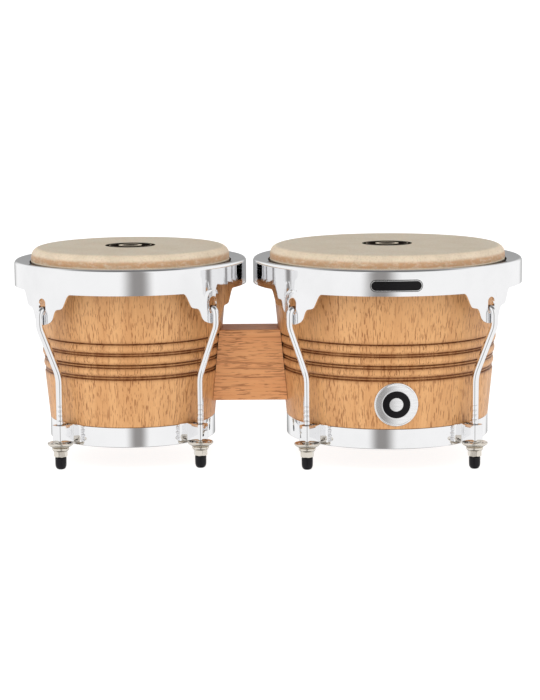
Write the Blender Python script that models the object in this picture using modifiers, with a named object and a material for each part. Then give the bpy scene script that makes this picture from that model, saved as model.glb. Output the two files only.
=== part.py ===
"""A pair of wooden bongo drums, modelled piece by piece at real size.

Metres, +Z up.  The drums stand on the rubber tips of their tuning hooks at
Z = 0 and the player's side faces -Y.  The small drum is at -X.
"""
import math

import bmesh
import bpy
from mathutils import Matrix, Vector

MM = 0.001
INCH = 25.4 * MM

# Driving dimensions
SMALL_HEAD = 6.75 * INCH        # head diameters, the sizes the drums are sold by
LARGE_HEAD = 8.0 * INCH
RIM_GAP = 5.8 * MM              # between the two tension rims
SMALL_CLOCK = 1.0               # degrees that each drum's lugs are turned
LARGE_CLOCK = -0.5
LUG_ANGLES = (-45.0, 45.0, 135.0, 225.0)
LUG_NAMES = ("front_left", "front_right", "rear_right", "rear_left")
TURNED_STEPS = 40
GAP = 0.3 * MM                  # between pieces that touch

# Heights
HEAD_TOP = 183.0 * MM
RIM_TOP = 172.2 * MM
BAND_BOTTOM = 150.9 * MM
EAR_BOTTOM = 124.0 * MM
RING_TOP = 36.7 * MM
RING_BOTTOM = 19.8 * MM
BRACKET_TOP = 37.6 * MM
BRACKET_BOTTOM = 23.0 * MM
WASHER_BOTTOM = 18.8 * MM
WASHER_RADIUS = 10.8 * MM
NUT_BOTTOM = 10.5 * MM
NUT_FLATS = 10.0 * MM           # across flats
NUT_FLANGE = 7.1 * MM           # radius
TIP_TOP = 10.2 * MM
TIP_RADIUS = 4.8 * MM

# Radii, counted from the head's nominal radius
SHELL_AT_RING = -14.7 * MM
SHELL_TAPER = 0.0965
SHELL_TOP = -2.3 * MM
HOOP_IN = 0.6 * MM
HOOP_OUT = 5.3 * MM
HOOP_TOP = 165.4 * MM
HOOP_BOTTOM = 160.8 * MM
RIM_WALL_MID = 12.3 * MM
RIM_LIP = 0.6 * MM
ROD_OUT = -2.5 * MM

# Shell
SHELL_WALL = 9.5 * MM
REBATE = 2.5 * MM
SHELL_BOTTOM = 20.6 * MM
WALL_TOP = 169.0 * MM           # where the wall thins towards the bearing edge
GROOVES = (107.8 * MM, 98.7 * MM, 88.7 * MM, 78.8 * MM)
GROOVE_DEPTH = 1.6 * MM
GROOVE_HALF = 1.3 * MM
SKIN = 1.2 * MM

# Metalwork
RIM_SHEET = 2.4 * MM
RIM_ROLL = 2.0 * MM
RIM_DISH = 2.1 * MM             # the rim's top dips this far towards the head
RING_SHEET = 2.0 * MM
ROD_RADIUS = 3.05 * MM
HOOK_BEND = 5.3 * MM
HOOK_CREST = 137.0 * MM
HOOK_KNEE = 79.0 * MM
HOOK_SHOULDER = 122.8 * MM
ROD_END = 3.5 * MM
SLOT_WIDTH = 8.0 * MM
SLOT_TOP = 146.3 * MM
SLOT_BOTTOM = 133.0 * MM
STRAP = 2.0 * MM

# Centre block and its fixings
BLOCK_TOP = 111.5 * MM
BLOCK_BOTTOM = 50.7 * MM
BLOCK_DEPTH = 40.0 * MM
BOLT_HEIGHTS = (64.0 * MM, 97.0 * MM)
BOLT_NAMES = ("lower", "upper")
BOLT_RADIUS = 3.0 * MM
BOLT_HOLE = 3.5 * MM
BOLT_IN_BLOCK = 18.0 * MM
PLATE_SHEET = 2.5 * MM
PLATE_SPREAD = 26.0             # degrees of the shell that a backing plate covers
PLATE_MARGIN = 10.0 * MM        # beyond each bolt
BOLT_HEAD = 5.6 * MM
BOLT_HEAD_HEIGHT = 4.0 * MM

# Badge and rim plate
BADGE_RADIUS = 18.4 * MM
BADGE_HEIGHT = 57.8 * MM
BADGE_SHEET = 0.8 * MM
BADGE_ANGLE = 1.8
LABEL_LENGTH = 43.0 * MM
LABEL_WIDTH = 9.8 * MM
LABEL_HEIGHT = 159.6 * MM
LABEL_SHEET = 0.5 * MM
LABEL_ANGLE = 0.6

COLOURS = {
    "wood": ((0.62, 0.36, 0.17), 0.35, 0.0),
    "block_wood": ((0.55, 0.28, 0.14), 0.4, 0.0),
    "skin": ((0.72, 0.64, 0.5), 0.55, 0.0),
    "chrome": ((0.86, 0.86, 0.88), 0.06, 1.0),
    "nickel": ((0.74, 0.7, 0.64), 0.2, 1.0),
    "steel": ((0.55, 0.55, 0.57), 0.35, 1.0),
    "rubber": ((0.02, 0.02, 0.022), 0.6, 0.0),
    "badge": ((0.7, 0.7, 0.72), 0.3, 1.0),
    "label": ((0.03, 0.03, 0.03), 0.3, 0.0),
}


def clear_scene():
    for item in list(bpy.data.objects):
        bpy.data.objects.remove(item, do_unlink=True)


def make_material(name):
    colour, roughness, metallic = COLOURS[name]
    material = bpy.data.materials.get(name)
    if material is None:
        material = bpy.data.materials.new(name)
        material.use_nodes = True
        shader = material.node_tree.nodes["Principled BSDF"]
        shader.inputs["Base Color"].default_value = (*colour, 1.0)
        shader.inputs["Roughness"].default_value = roughness
        shader.inputs["Metallic"].default_value = metallic
    return material


def make_collection(name):
    collection = bpy.data.collections.new(name)
    bpy.context.scene.collection.children.link(collection)
    return collection


def add_object(name, data, collection, material=None, parent=None):
    item = bpy.data.objects.new(name, data)
    collection.objects.link(item)
    item.parent = parent
    if material:
        data.materials.append(make_material(material))
    return item


def as_cutter(item):
    item.hide_render = True
    item.display_type = "WIRE"
    return item


def turned(name, points, closed, collection, material, parent=None, steps=TURNED_STEPS, angle=360.0):
    """Turn a profile of (radius, height) points about the object's Z axis."""
    mesh = bpy.data.meshes.new(name)
    bm = bmesh.new()
    verts = [bm.verts.new((radius, 0.0, height)) for radius, height in points]
    pairs = list(zip(verts, verts[1:]))
    if closed:
        pairs.append((verts[-1], verts[0]))
    for start, end in pairs:
        bm.edges.new((start, end))
    bm.to_mesh(mesh)
    bm.free()
    item = add_object(name, mesh, collection, material, parent)
    screw = item.modifiers.new("turn", "SCREW")
    screw.axis = "Z"
    screw.angle = math.radians(angle)
    screw.steps = steps
    screw.render_steps = steps
    screw.use_merge_vertices = True
    screw.merge_threshold = 0.00001
    screw.use_smooth_shade = False
    return item


def thicken(item, thickness):
    solid = item.modifiers.new("sheet", "SOLIDIFY")
    solid.thickness = thickness
    solid.offset = 0.0
    solid.use_even_offset = True
    return item


def cut(item, cutter, operation="DIFFERENCE"):
    boolean = item.modifiers.new(cutter.name, "BOOLEAN")
    boolean.operation = operation
    boolean.solver = "EXACT"
    boolean.object = cutter
    return item


def extruded(name, outlines, thickness, collection, material=None, parent=None):
    """Extrude flat outlines (the first outer, the rest holes) to a thickness about their plane."""
    curve = bpy.data.curves.new(name, "CURVE")
    curve.dimensions = "2D"
    curve.fill_mode = "BOTH"
    curve.extrude = thickness / 2
    for outline in outlines:
        spline = curve.splines.new("POLY")
        spline.points.add(len(outline) - 1)
        for point, (x, y) in zip(spline.points, outline):
            point.co = (x, y, 0.0, 1.0)
        spline.use_cyclic_u = True
    return add_object(name, curve, collection, material, parent)


def arc(centre, radius, start, end, steps):
    """Points on an arc, angles in degrees."""
    angles = [math.radians(start + (end - start) * i / steps) for i in range(steps + 1)]
    return [(centre[0] + radius * math.cos(a), centre[1] + radius * math.sin(a)) for a in angles]


def mesh_of(item, collection):
    """Replace a curve object by a welded mesh object in the same place."""
    bpy.context.view_layer.update()
    mesh = bpy.data.meshes.new_from_object(item.evaluated_get(bpy.context.evaluated_depsgraph_get()))
    bm = bmesh.new()
    bm.from_mesh(mesh)
    bmesh.ops.remove_doubles(bm, verts=bm.verts, dist=0.01 * MM)
    bm.to_mesh(mesh)
    bm.free()
    solid = bpy.data.objects.new(item.name + "_mesh", mesh)
    collection.objects.link(solid)
    solid.matrix_world = item.matrix_world.copy()
    bpy.data.objects.remove(item, do_unlink=True)
    return solid


def cylinder(name, radius, length, segments, matrix, collection, radius_end=None):
    mesh = bpy.data.meshes.new(name)
    bm = bmesh.new()
    top = radius if radius_end is None else radius_end
    bmesh.ops.create_cone(bm, cap_ends=True, segments=segments, radius1=radius, radius2=top,
                          depth=length, matrix=matrix)
    bm.to_mesh(mesh)
    bm.free()
    return add_object(name, mesh, collection)


class Drum:
    """The sizes, place and names of one drum."""

    def __init__(self, name, head, centre, clock, inward):
        self.name = name
        self.radius = head / 2
        self.centre = centre
        self.clock = clock
        self.inward = inward        # +1 where the other drum is at +X, -1 at -X

    def node(self, piece):
        return f"{self.name}_{piece}"

    def rim_outside(self):
        return self.radius + RIM_WALL_MID + RIM_SHEET / 2

    def shell_outside(self, height):
        return self.radius + SHELL_AT_RING + SHELL_TAPER * (height - RING_TOP)


def shell_profile(drum):
    edge = drum.radius + SHELL_TOP
    crest = HEAD_TOP - SKIN - GAP
    outer = [(edge - 6.6 * MM, crest), (edge - 2.9 * MM, crest - 1.4 * MM),
             (edge - 0.8 * MM, crest - 3.9 * MM), (edge, crest - 7.2 * MM),
             (edge, RING_TOP + (SHELL_TOP - SHELL_AT_RING) / SHELL_TAPER)]
    for groove in GROOVES:
        surface = drum.shell_outside(groove)
        taper = SHELL_TAPER * GROOVE_HALF
        outer += [(surface + taper, groove + GROOVE_HALF), (surface - GROOVE_DEPTH, groove),
                  (surface - taper, groove - GROOVE_HALF)]
    step = drum.shell_outside(RING_TOP)
    outer += [(step, RING_TOP + GAP), (step - REBATE, RING_TOP + GAP), (step - REBATE, SHELL_BOTTOM)]
    inner = [(drum.shell_outside(SHELL_BOTTOM) - SHELL_WALL, SHELL_BOTTOM),
             (edge - SHELL_WALL, WALL_TOP)]
    return outer + inner


def make_shell(drum, parts, cutters, empty):
    shell = turned(drum.node("shell"), shell_profile(drum), True, parts, "wood", empty)
    for bolt_name, height in zip(BOLT_NAMES, BOLT_HEIGHTS):
        cut(shell, bolt_hole(drum, bolt_name, height, "shell_hole", cutters))
    return shell


def bolt_hole(drum, bolt_name, height, label, cutters):
    """A hole through wall and plate and into the block, along X from inside the drum."""
    start = drum.shell_outside(height) - SHELL_WALL - 8.0 * MM
    length = SHELL_WALL + 8.0 * MM + BOLT_IN_BLOCK + 1.0 * MM
    middle = drum.centre + drum.inward * (start + length / 2)
    matrix = Matrix.Translation((middle, 0.0, height)) @ Matrix.Rotation(math.radians(90.0), 4, "Y")
    return as_cutter(cylinder(drum.node(f"{bolt_name}_{label}"), BOLT_HOLE, length, 12, matrix, cutters))


def make_head(drum, parts, empty):
    """The skin: flat top, collar and the edge tucked round the flesh hoop."""
    r = drum.radius
    top = HEAD_TOP - SKIN / 2
    wrap = HOOP_OUT + GAP + SKIN / 2
    points = [(0.0, top), (r - 8.5 * MM, top), (r - 4.4 * MM, top - 1.3 * MM),
              (r - 1.6 * MM, top - 5.2 * MM), (r - 1.3 * MM, top - 15.0 * MM),
              (r + 1.6 * MM, top - 16.1 * MM), (r + wrap, top - 14.5 * MM),
              (r + wrap, HOOP_BOTTOM - GAP - SKIN / 2), (r + 2.4 * MM, HOOP_BOTTOM - GAP - SKIN / 2)]
    return thicken(turned(drum.node("head"), points, False, parts, "skin", empty), SKIN)


def make_flesh_hoop(drum, parts, empty):
    inner, outer = drum.radius + HOOP_IN, drum.radius + HOOP_OUT
    points = [(outer, HOOP_TOP), (outer, HOOP_BOTTOM), (inner, HOOP_BOTTOM), (inner, HOOP_TOP)]
    return turned(drum.node("flesh_hoop"), points, True, parts, "steel", empty)


def window_outline(drum):
    """The opening between two ears, seen along its own direction: stepped ear edges on both sides."""
    radius = drum.radius + RIM_WALL_MID
    ear = [(28.0 * MM, BAND_BOTTOM), (26.2 * MM, BAND_BOTTOM - 2.4 * MM), (21.9 * MM, 140.0 * MM),
           (20.0 * MM, 138.6 * MM), (15.0 * MM, 137.3 * MM), (13.0 * MM, 134.6 * MM),
           (11.1 * MM, 129.7 * MM), (8.2 * MM, 126.6 * MM), (4.4 * MM, 124.9 * MM), (0.0, EAR_BOTTOM)]
    side = [(radius * math.sin(math.radians(45.0) - along / radius), height) for along, height in ear]
    side.append((side[-1][0], EAR_BOTTOM - 6.0 * MM))
    return side + [(-across, height) for across, height in reversed(side)]


def slot_outline():
    half = SLOT_WIDTH / 2
    foot = 1.0 * MM
    return (arc((0.0, SLOT_TOP - half), half, 0.0, 180.0, 6)
            + [(-half, SLOT_BOTTOM + foot), (-half + foot, SLOT_BOTTOM),
               (half - foot, SLOT_BOTTOM), (half, SLOT_BOTTOM + foot)])


def through_cutter(name, outline, drum, azimuth, cutters):
    """An upright outline pushed right through the drum along one direction."""
    item = extruded(name, [outline], 3 * drum.rim_outside(), cutters)
    item.matrix_world = (Matrix.Translation((drum.centre, 0.0, 0.0))
                         @ Matrix.Rotation(math.radians(drum.clock + azimuth), 4, "Z")
                         @ Matrix.Rotation(math.radians(90.0), 4, "X"))
    return as_cutter(mesh_of(item, cutters))


def make_rim(drum, parts, cutters, empty):
    r = drum.radius
    wall = r + RIM_WALL_MID
    top = RIM_TOP - RIM_SHEET / 2
    points = [(r + RIM_LIP, top - RIM_DISH)] + [(wall - RIM_ROLL + x, top - RIM_ROLL + y)
                                                 for x, y in reversed(arc((0.0, 0.0), RIM_ROLL, 0.0, 90.0, 3))]
    points.append((wall, EAR_BOTTOM - 2.0 * MM))
    rim = thicken(turned(drum.node("tension_rim"), points, False, parts, "chrome", empty), RIM_SHEET)
    for number, azimuth in enumerate((0.0, 90.0)):
        cut(rim, through_cutter(drum.node(f"window_{number}"), window_outline(drum), drum, azimuth, cutters))
        cut(rim, through_cutter(drum.node(f"slot_{number}"), slot_outline(), drum, azimuth + 45.0, cutters))
    return rim


def make_bottom_ring(drum, parts, empty):
    outer = drum.shell_outside(RING_TOP)
    inner = outer - RING_SHEET
    soft = 0.7 * MM
    points = [(inner, RING_TOP), (outer - soft, RING_TOP), (outer, RING_TOP - soft),
              (outer, RING_BOTTOM + soft), (outer - soft, RING_BOTTOM), (inner, RING_BOTTOM)]
    return turned(drum.node("bottom_ring"), points, True, parts, "chrome", empty)


def bracket_path(drum):
    """Half of the strap in plan, from the outer wall's middle to the foot's end on the ring."""
    ring = drum.shell_outside(RING_TOP) + GAP + STRAP / 2
    outer = drum.radius + ROD_OUT + ROD_RADIUS + GAP + STRAP / 2
    half = ROD_RADIUS + GAP + STRAP / 2
    bend = 1.2 * MM
    spread = [(ring + 1.6 * MM, half), (ring, half + 1.8 * MM)]
    foot = [(ring * math.cos(a), ring * math.sin(a)) for a in
            [(half + 5.0 * MM) / ring, (half + 9.0 * MM) / ring]]
    return [(outer, 0.0), (outer, half - bend), (outer - bend, half)] + spread + foot


def make_bracket(drum, lug, parts, empty):
    """A bent strap that stands off the bottom ring and guides one tuning hook."""
    half = bracket_path(drum)
    path = [(x, -y) for x, y in reversed(half[1:])] + half
    mesh = bpy.data.meshes.new(drum.node(f"bracket_{lug.name}"))
    bm = bmesh.new()
    verts = [bm.verts.new((x, y, BRACKET_BOTTOM)) for x, y in path]
    edges = [bm.edges.new(pair) for pair in zip(verts, verts[1:])]
    grown = bmesh.ops.extrude_edge_only(bm, edges=edges)
    moved = [item for item in grown["geom"] if isinstance(item, bmesh.types.BMVert)]
    bmesh.ops.translate(bm, verts=moved, vec=(0.0, 0.0, BRACKET_TOP - BRACKET_BOTTOM))
    bm.to_mesh(mesh)
    bm.free()
    bracket = add_object(mesh.name, mesh, parts, "chrome", empty)
    bracket.rotation_euler = (0.0, 0.0, lug.turn)
    return thicken(bracket, STRAP)


def hook_path(drum):
    """(radius, height) points up the rod, out over its knee and round the top bend."""
    low = drum.radius + ROD_OUT
    crest = drum.radius + RIM_WALL_MID
    outer = crest + HOOK_BEND
    centre = (crest, HOOK_CREST - HOOK_BEND)
    knee, shoulder = Vector((low, HOOK_KNEE)), Vector((outer, HOOK_SHOULDER))
    lean = (shoulder - knee).normalized()
    up = Vector((0.0, 1.0))
    ease = 6.0 * MM
    points = [(low, ROD_END), tuple(knee - ease * up), tuple(knee + 0.17 * ease * (lean - up)),
              tuple(knee + ease * lean), tuple(shoulder - 0.6 * ease * lean),
              tuple(shoulder + 0.6 * ease * up)]
    points += arc(centre, HOOK_BEND, 0.0, 180.0, 5)
    points.append((crest - HOOK_BEND, HOOK_CREST - 10.5 * MM))
    return points


def make_hook(drum, lug, parts, empty):
    curve = bpy.data.curves.new(drum.node(f"hook_{lug.name}"), "CURVE")
    curve.dimensions = "3D"
    curve.bevel_depth = ROD_RADIUS
    curve.bevel_resolution = 2
    curve.use_fill_caps = True
    path = hook_path(drum)
    spline = curve.splines.new("POLY")
    spline.points.add(len(path) - 1)
    for point, (radius, height) in zip(spline.points, path):
        point.co = (radius, 0.0, height, 1.0)
    hook = add_object(curve.name, curve, parts, "chrome", empty)
    hook.rotation_euler = (0.0, 0.0, lug.turn)
    return hook


def make_washer(drum, lug, parts, empty):
    top = BRACKET_BOTTOM - GAP
    bore = ROD_RADIUS + 0.45 * MM
    points = [(bore, top), (WASHER_RADIUS - 0.6 * MM, top), (WASHER_RADIUS, top - 0.8 * MM),
              (7.4 * MM, WASHER_BOTTOM), (bore, WASHER_BOTTOM)]
    washer = turned(drum.node(f"washer_{lug.name}"), points, True, parts, "nickel", empty, steps=12)
    washer.location = lug.place
    return washer


def make_nut(drum, lug, parts, cutters, empty):
    """A hexagon nut with a round flange, its origin on the rod's axis."""
    top = WASHER_BOTTOM - GAP
    flange = 2.4 * MM
    height = top - NUT_BOTTOM
    name = drum.node(f"nut_{lug.name}")
    across_corners = NUT_FLATS / math.cos(math.radians(30.0))
    nut = cylinder(name, across_corners / 2, height, 6,
                   Matrix.Translation((0.0, 0.0, NUT_BOTTOM + height / 2)), parts)
    nut.data.materials.append(make_material("nickel"))
    collar = cylinder(name + "_flange", NUT_FLANGE, flange, 12,
                      Matrix.Translation((0.0, 0.0, top - flange / 2)), cutters)
    bore = cylinder(name + "_bore", ROD_RADIUS + 0.2 * MM, 3 * height, 10,
                    Matrix.Translation((0.0, 0.0, NUT_BOTTOM)), cutters)
    for item in (nut, collar, bore):
        item.parent = empty
        item.location = lug.place
        item.rotation_euler = (0.0, 0.0, lug.turn)
    cut(nut, as_cutter(collar), "UNION")
    cut(nut, as_cutter(bore))
    return nut


def make_tip(drum, lug, parts, empty):
    """A rubber cap on the rod's end, with a small flat that the drum stands on."""
    floor = ROD_END - GAP
    bore = ROD_RADIUS + GAP
    outer = TIP_RADIUS
    points = [(0.0, floor), (bore, floor), (bore, TIP_TOP), (outer, TIP_TOP), (outer, 2.6 * MM),
              (outer - 0.8 * MM, 0.8 * MM), (outer - 2.2 * MM, 0.0), (0.0, 0.0)]
    tip = turned(drum.node(f"tip_{lug.name}"), points, False, parts, "rubber", empty, steps=10)
    tip.location = lug.place
    return tip


class Lug:
    """One of a drum's four tuning places: its name, turn and rod position."""

    def __init__(self, drum, name, azimuth):
        self.name = name
        self.turn = math.radians(azimuth - 90.0)
        reach = drum.radius + ROD_OUT
        self.place = (reach * math.cos(self.turn), reach * math.sin(self.turn), 0.0)


def make_bolt(drum, bolt_name, height, parts):
    """A round-headed bolt from inside the shell into the centre block."""
    head_face = drum.shell_outside(height) - SHELL_WALL - PLATE_SHEET - 1.4 * MM
    end = drum.shell_outside(height) + BOLT_IN_BLOCK
    points = [(0.0, end), (BOLT_RADIUS, end), (BOLT_RADIUS, head_face), (BOLT_HEAD, head_face),
              (BOLT_HEAD, head_face - 0.6 * BOLT_HEAD_HEIGHT),
              (BOLT_HEAD - 2.0 * MM, head_face - BOLT_HEAD_HEIGHT), (0.0, head_face - BOLT_HEAD_HEIGHT)]
    bolt = turned(drum.node(f"bolt_{bolt_name}"), points, False, parts, "steel", steps=12)
    bolt.location = (drum.centre, 0.0, height)
    bolt.rotation_euler = (0.0, math.radians(90.0) * drum.inward, 0.0)
    return bolt


def make_plate(drum, parts, cutters):
    """A curved backing plate that spreads the bolts' load inside the shell."""
    top, bottom = BOLT_HEIGHTS[1] + PLATE_MARGIN, BOLT_HEIGHTS[0] - PLATE_MARGIN
    inset = SHELL_WALL + 2 * GAP + PLATE_SHEET / 2
    points = [(drum.shell_outside(top) - inset, top), (drum.shell_outside(bottom) - inset, bottom)]
    plate = turned(drum.node("backing_plate"), points, False, parts, "steel", steps=4, angle=PLATE_SPREAD)
    plate.location = (drum.centre, 0.0, 0.0)
    facing = 0.0 if drum.inward > 0 else 180.0
    plate.rotation_euler = (0.0, 0.0, math.radians(facing - PLATE_SPREAD / 2))
    thicken(plate, PLATE_SHEET)
    for bolt_name, height in zip(BOLT_NAMES, BOLT_HEIGHTS):
        cut(plate, bolt_hole(drum, bolt_name, height, "plate_hole", cutters))
    return plate


def make_block(drums, parts, cutters):
    """The wood block between the shells, its ends hollowed to the shells' cones."""
    small, large = drums
    left = small.centre + small.shell_outside(BLOCK_TOP) - 12.0 * MM
    right = large.centre - large.shell_outside(BLOCK_TOP) + 12.0 * MM
    height = BLOCK_TOP - BLOCK_BOTTOM
    mesh = bpy.data.meshes.new("centre_block")
    bm = bmesh.new()
    place = Matrix.Translation(((left + right) / 2, 0.0, BLOCK_BOTTOM + height / 2))
    size = Matrix.Diagonal((right - left, BLOCK_DEPTH, height, 1.0))
    bmesh.ops.create_cube(bm, size=1.0, matrix=place @ size)
    bm.to_mesh(mesh)
    bm.free()
    block = add_object("centre_block", mesh, parts, "block_wood")
    margin = 5.0 * MM
    low, high = BLOCK_BOTTOM - margin, BLOCK_TOP + margin
    for drum in drums:
        turn = Matrix.Rotation(math.radians(drum.clock), 4, "Z")
        matrix = Matrix.Translation((drum.centre, 0.0, (low + high) / 2)) @ turn
        scribe = cylinder(drum.node("block_scribe"), drum.shell_outside(low) + GAP, high - low,
                          TURNED_STEPS, matrix, cutters, drum.shell_outside(high) + GAP)
        cut(block, as_cutter(scribe))
        for bolt_name, bolt_height in zip(BOLT_NAMES, BOLT_HEIGHTS):
            cut(block, bolt_hole(drum, bolt_name, bolt_height, "block_hole", cutters))
    return block


def curved_sheet(name, radii, heights, spread, thickness, azimuth, drum, collection, material):
    """A strip of a cone, facing an azimuth, to trim to an outline."""
    points = [(radii[1], heights[1]), (radii[0], heights[0])]
    sheet = turned(name, points, False, collection, material, steps=10, angle=spread)
    sheet.location = (drum.centre, 0.0, 0.0)
    sheet.rotation_euler = (0.0, 0.0, math.radians(azimuth - 90.0 - spread / 2))
    return thicken(sheet, thickness)


def trim_cutter(name, outline, height, azimuth, drum, cutters):
    """An outline facing an azimuth, deep enough to reach from the axis to beyond the rim."""
    item = extruded(name, [outline], drum.rim_outside(), cutters)
    item.matrix_world = (Matrix.Translation((drum.centre, 0.0, height))
                         @ Matrix.Rotation(math.radians(azimuth), 4, "Z")
                         @ Matrix.Translation((0.0, -drum.rim_outside(), 0.0))
                         @ Matrix.Rotation(math.radians(90.0), 4, "X"))
    return as_cutter(mesh_of(item, cutters))


def make_badge(drum, parts, cutters):
    low, high = BADGE_HEIGHT - BADGE_RADIUS - MM, BADGE_HEIGHT + BADGE_RADIUS + MM
    off = GAP + BADGE_SHEET / 2
    badge = curved_sheet("shell_badge", (drum.shell_outside(low) + off, drum.shell_outside(high) + off),
                         (low, high), 30.0, BADGE_SHEET, BADGE_ANGLE, drum, parts, "badge")
    outline = arc((0.0, 0.0), BADGE_RADIUS, 0.0, 345.0, 23)
    return cut(badge, trim_cutter("badge_trim", outline, BADGE_HEIGHT, BADGE_ANGLE, drum, cutters),
               "INTERSECT")


def make_label(drum, parts, cutters):
    low, high = LABEL_HEIGHT - LABEL_WIDTH, LABEL_HEIGHT + LABEL_WIDTH
    radius = drum.rim_outside() + GAP + LABEL_SHEET / 2
    label = curved_sheet("rim_plate", (radius, radius), (low, high), 30.0, LABEL_SHEET, LABEL_ANGLE,
                         drum, parts, "label")
    half, end = LABEL_WIDTH / 2, LABEL_LENGTH / 2 - LABEL_WIDTH / 2
    outline = arc((end, 0.0), half, -90.0, 90.0, 6) + arc((-end, 0.0), half, 90.0, 270.0, 6)
    return cut(label, trim_cutter("label_trim", outline, LABEL_HEIGHT, LABEL_ANGLE, drum, cutters),
               "INTERSECT")


def make_drum(drum, parts, cutters):
    empty = add_object(drum.node("axis"), None, parts)
    empty.location = (drum.centre, 0.0, 0.0)
    empty.rotation_euler = (0.0, 0.0, math.radians(drum.clock))
    bpy.context.view_layer.update()
    make_shell(drum, parts, cutters, empty)
    make_head(drum, parts, empty)
    make_flesh_hoop(drum, parts, empty)
    make_rim(drum, parts, cutters, empty)
    make_bottom_ring(drum, parts, empty)
    for name, azimuth in zip(LUG_NAMES, LUG_ANGLES):
        lug = Lug(drum, name, azimuth)
        make_bracket(drum, lug, parts, empty)
        make_hook(drum, lug, parts, empty)
        make_washer(drum, lug, parts, empty)
        make_nut(drum, lug, parts, cutters, empty)
        make_tip(drum, lug, parts, empty)
    for bolt_name, height in zip(BOLT_NAMES, BOLT_HEIGHTS):
        make_bolt(drum, bolt_name, height, parts)
    make_plate(drum, parts, cutters)


def main():
    clear_scene()
    parts = make_collection("bongo_drums")
    cutters = make_collection("cutters")
    small = Drum("small", SMALL_HEAD, 0.0, SMALL_CLOCK, 1)
    large = Drum("large", LARGE_HEAD, 0.0, LARGE_CLOCK, -1)
    half_width = small.rim_outside() + RIM_GAP / 2 + large.rim_outside()
    small.centre = small.rim_outside() - half_width
    large.centre = half_width - large.rim_outside()
    drums = (small, large)
    for drum in drums:
        make_drum(drum, parts, cutters)
    make_block(drums, parts, cutters)
    make_badge(large, parts, cutters)
    make_label(large, parts, cutters)


main()
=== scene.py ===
"""A pair of wooden bongo drums, finished piece by piece around their packed frame.

Metres, +Z up.  The player's side faces -Y and the small drum stands at -X.
"""
import math

import bmesh
import bpy
from mathutils import Matrix, Vector


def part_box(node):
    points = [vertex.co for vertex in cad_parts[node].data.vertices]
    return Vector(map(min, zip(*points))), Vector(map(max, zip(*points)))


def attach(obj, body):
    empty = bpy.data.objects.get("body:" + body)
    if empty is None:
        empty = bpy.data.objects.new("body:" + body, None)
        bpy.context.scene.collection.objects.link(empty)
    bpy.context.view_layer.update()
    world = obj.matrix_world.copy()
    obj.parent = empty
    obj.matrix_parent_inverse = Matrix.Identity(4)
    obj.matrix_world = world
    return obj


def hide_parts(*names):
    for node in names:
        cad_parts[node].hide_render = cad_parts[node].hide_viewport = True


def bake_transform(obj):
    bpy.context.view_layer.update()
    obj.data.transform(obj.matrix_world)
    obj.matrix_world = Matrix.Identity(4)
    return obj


bl_info = {
    "name": "Bongo drums",
    "version": (1, 0, 0),
    "blender": (4, 5, 0),
    "location": "3D View > Sidebar > Bongos",
    "description": "Makes a pair of wooden bongo drums, one group of pieces at a time",
    "category": "Add Mesh",
}

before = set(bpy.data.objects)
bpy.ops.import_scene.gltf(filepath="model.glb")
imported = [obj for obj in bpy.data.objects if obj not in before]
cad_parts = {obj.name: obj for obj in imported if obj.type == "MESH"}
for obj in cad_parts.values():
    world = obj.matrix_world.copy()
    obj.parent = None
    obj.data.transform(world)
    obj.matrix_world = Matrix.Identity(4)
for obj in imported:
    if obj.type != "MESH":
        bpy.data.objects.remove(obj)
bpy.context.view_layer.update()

MM = 0.001
LUGS = ("front_left", "front_right", "rear_right", "rear_left")
ROUND = 192                     # steps round a shell, head or ring
TURN = 2 * math.pi


def paint(red, green, blue):
    """A display colour, 0 to 255, as the linear colour that a shader takes."""
    def linear(value):
        value /= 255.0
        return value / 12.92 if value <= 0.04045 else ((value + 0.055) / 1.055) ** 2.4
    return (linear(red), linear(green), linear(blue))


class Drum:
    """One drum's places, read from its pieces in the frame."""

    def __init__(self, name, inward):
        self.name = name
        self.inward = inward                    # +1 where the other drum is at +X
        low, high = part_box(f"{name}_tension_rim")
        self.centre = (low.x + high.x) / 2
        self.rim_outside = (high.x - low.x) / 2
        self.radius = self.rim_outside - 13.5 * MM
        self.rim_top = high.z
        self.ear_bottom = low.z
        low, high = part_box(f"{name}_bottom_ring")
        self.ring_bottom, self.ring_top = low.z, high.z
        self.ring_radius = (high.x - low.x) / 2
        low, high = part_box(f"{name}_tip_front_left")
        tip = (low + high) / 2
        self.rod_reach = math.hypot(tip.x - self.centre, tip.y)
        self.first_turn = math.atan2(tip.y, tip.x - self.centre)
        self.head_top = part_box(f"{name}_head")[1].z
        self.rim_set = f"{name}_rim_set"

    def node(self, piece):
        return f"{self.name}_{piece}"

    def each_lug(self, piece):
        return [self.node(f"{piece}_{lug}") for lug in LUGS]

    def lug_place(self, lug):
        turn = self.first_turn + LUGS.index(lug) * TURN / 4
        return Vector((self.centre + self.rod_reach * math.cos(turn), self.rod_reach * math.sin(turn), 0.0))

    def shell_outside(self, height):
        return self.ring_radius + SHELL_TAPER * (height - self.ring_top)


SHELL_TAPER = 0.0965
DRUMS = (Drum("small", 1), Drum("large", -1))
LARGE = DRUMS[1]


# Settings -----------------------------------------------------------------

def length(name, description, default):
    return bpy.props.FloatProperty(name=name, description=description, default=default,
                                   min=0.0, precision=5, unit="LENGTH")


def colour(name, description, red, green, blue):
    return bpy.props.FloatVectorProperty(name=name, description=description, subtype="COLOR", size=3,
                                         min=0.0, max=1.0, default=paint(red, green, blue))


def share(name, description, default, highest=1.0):
    return bpy.props.FloatProperty(name=name, description=description, default=default,
                                   min=0.0, max=highest)


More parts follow.
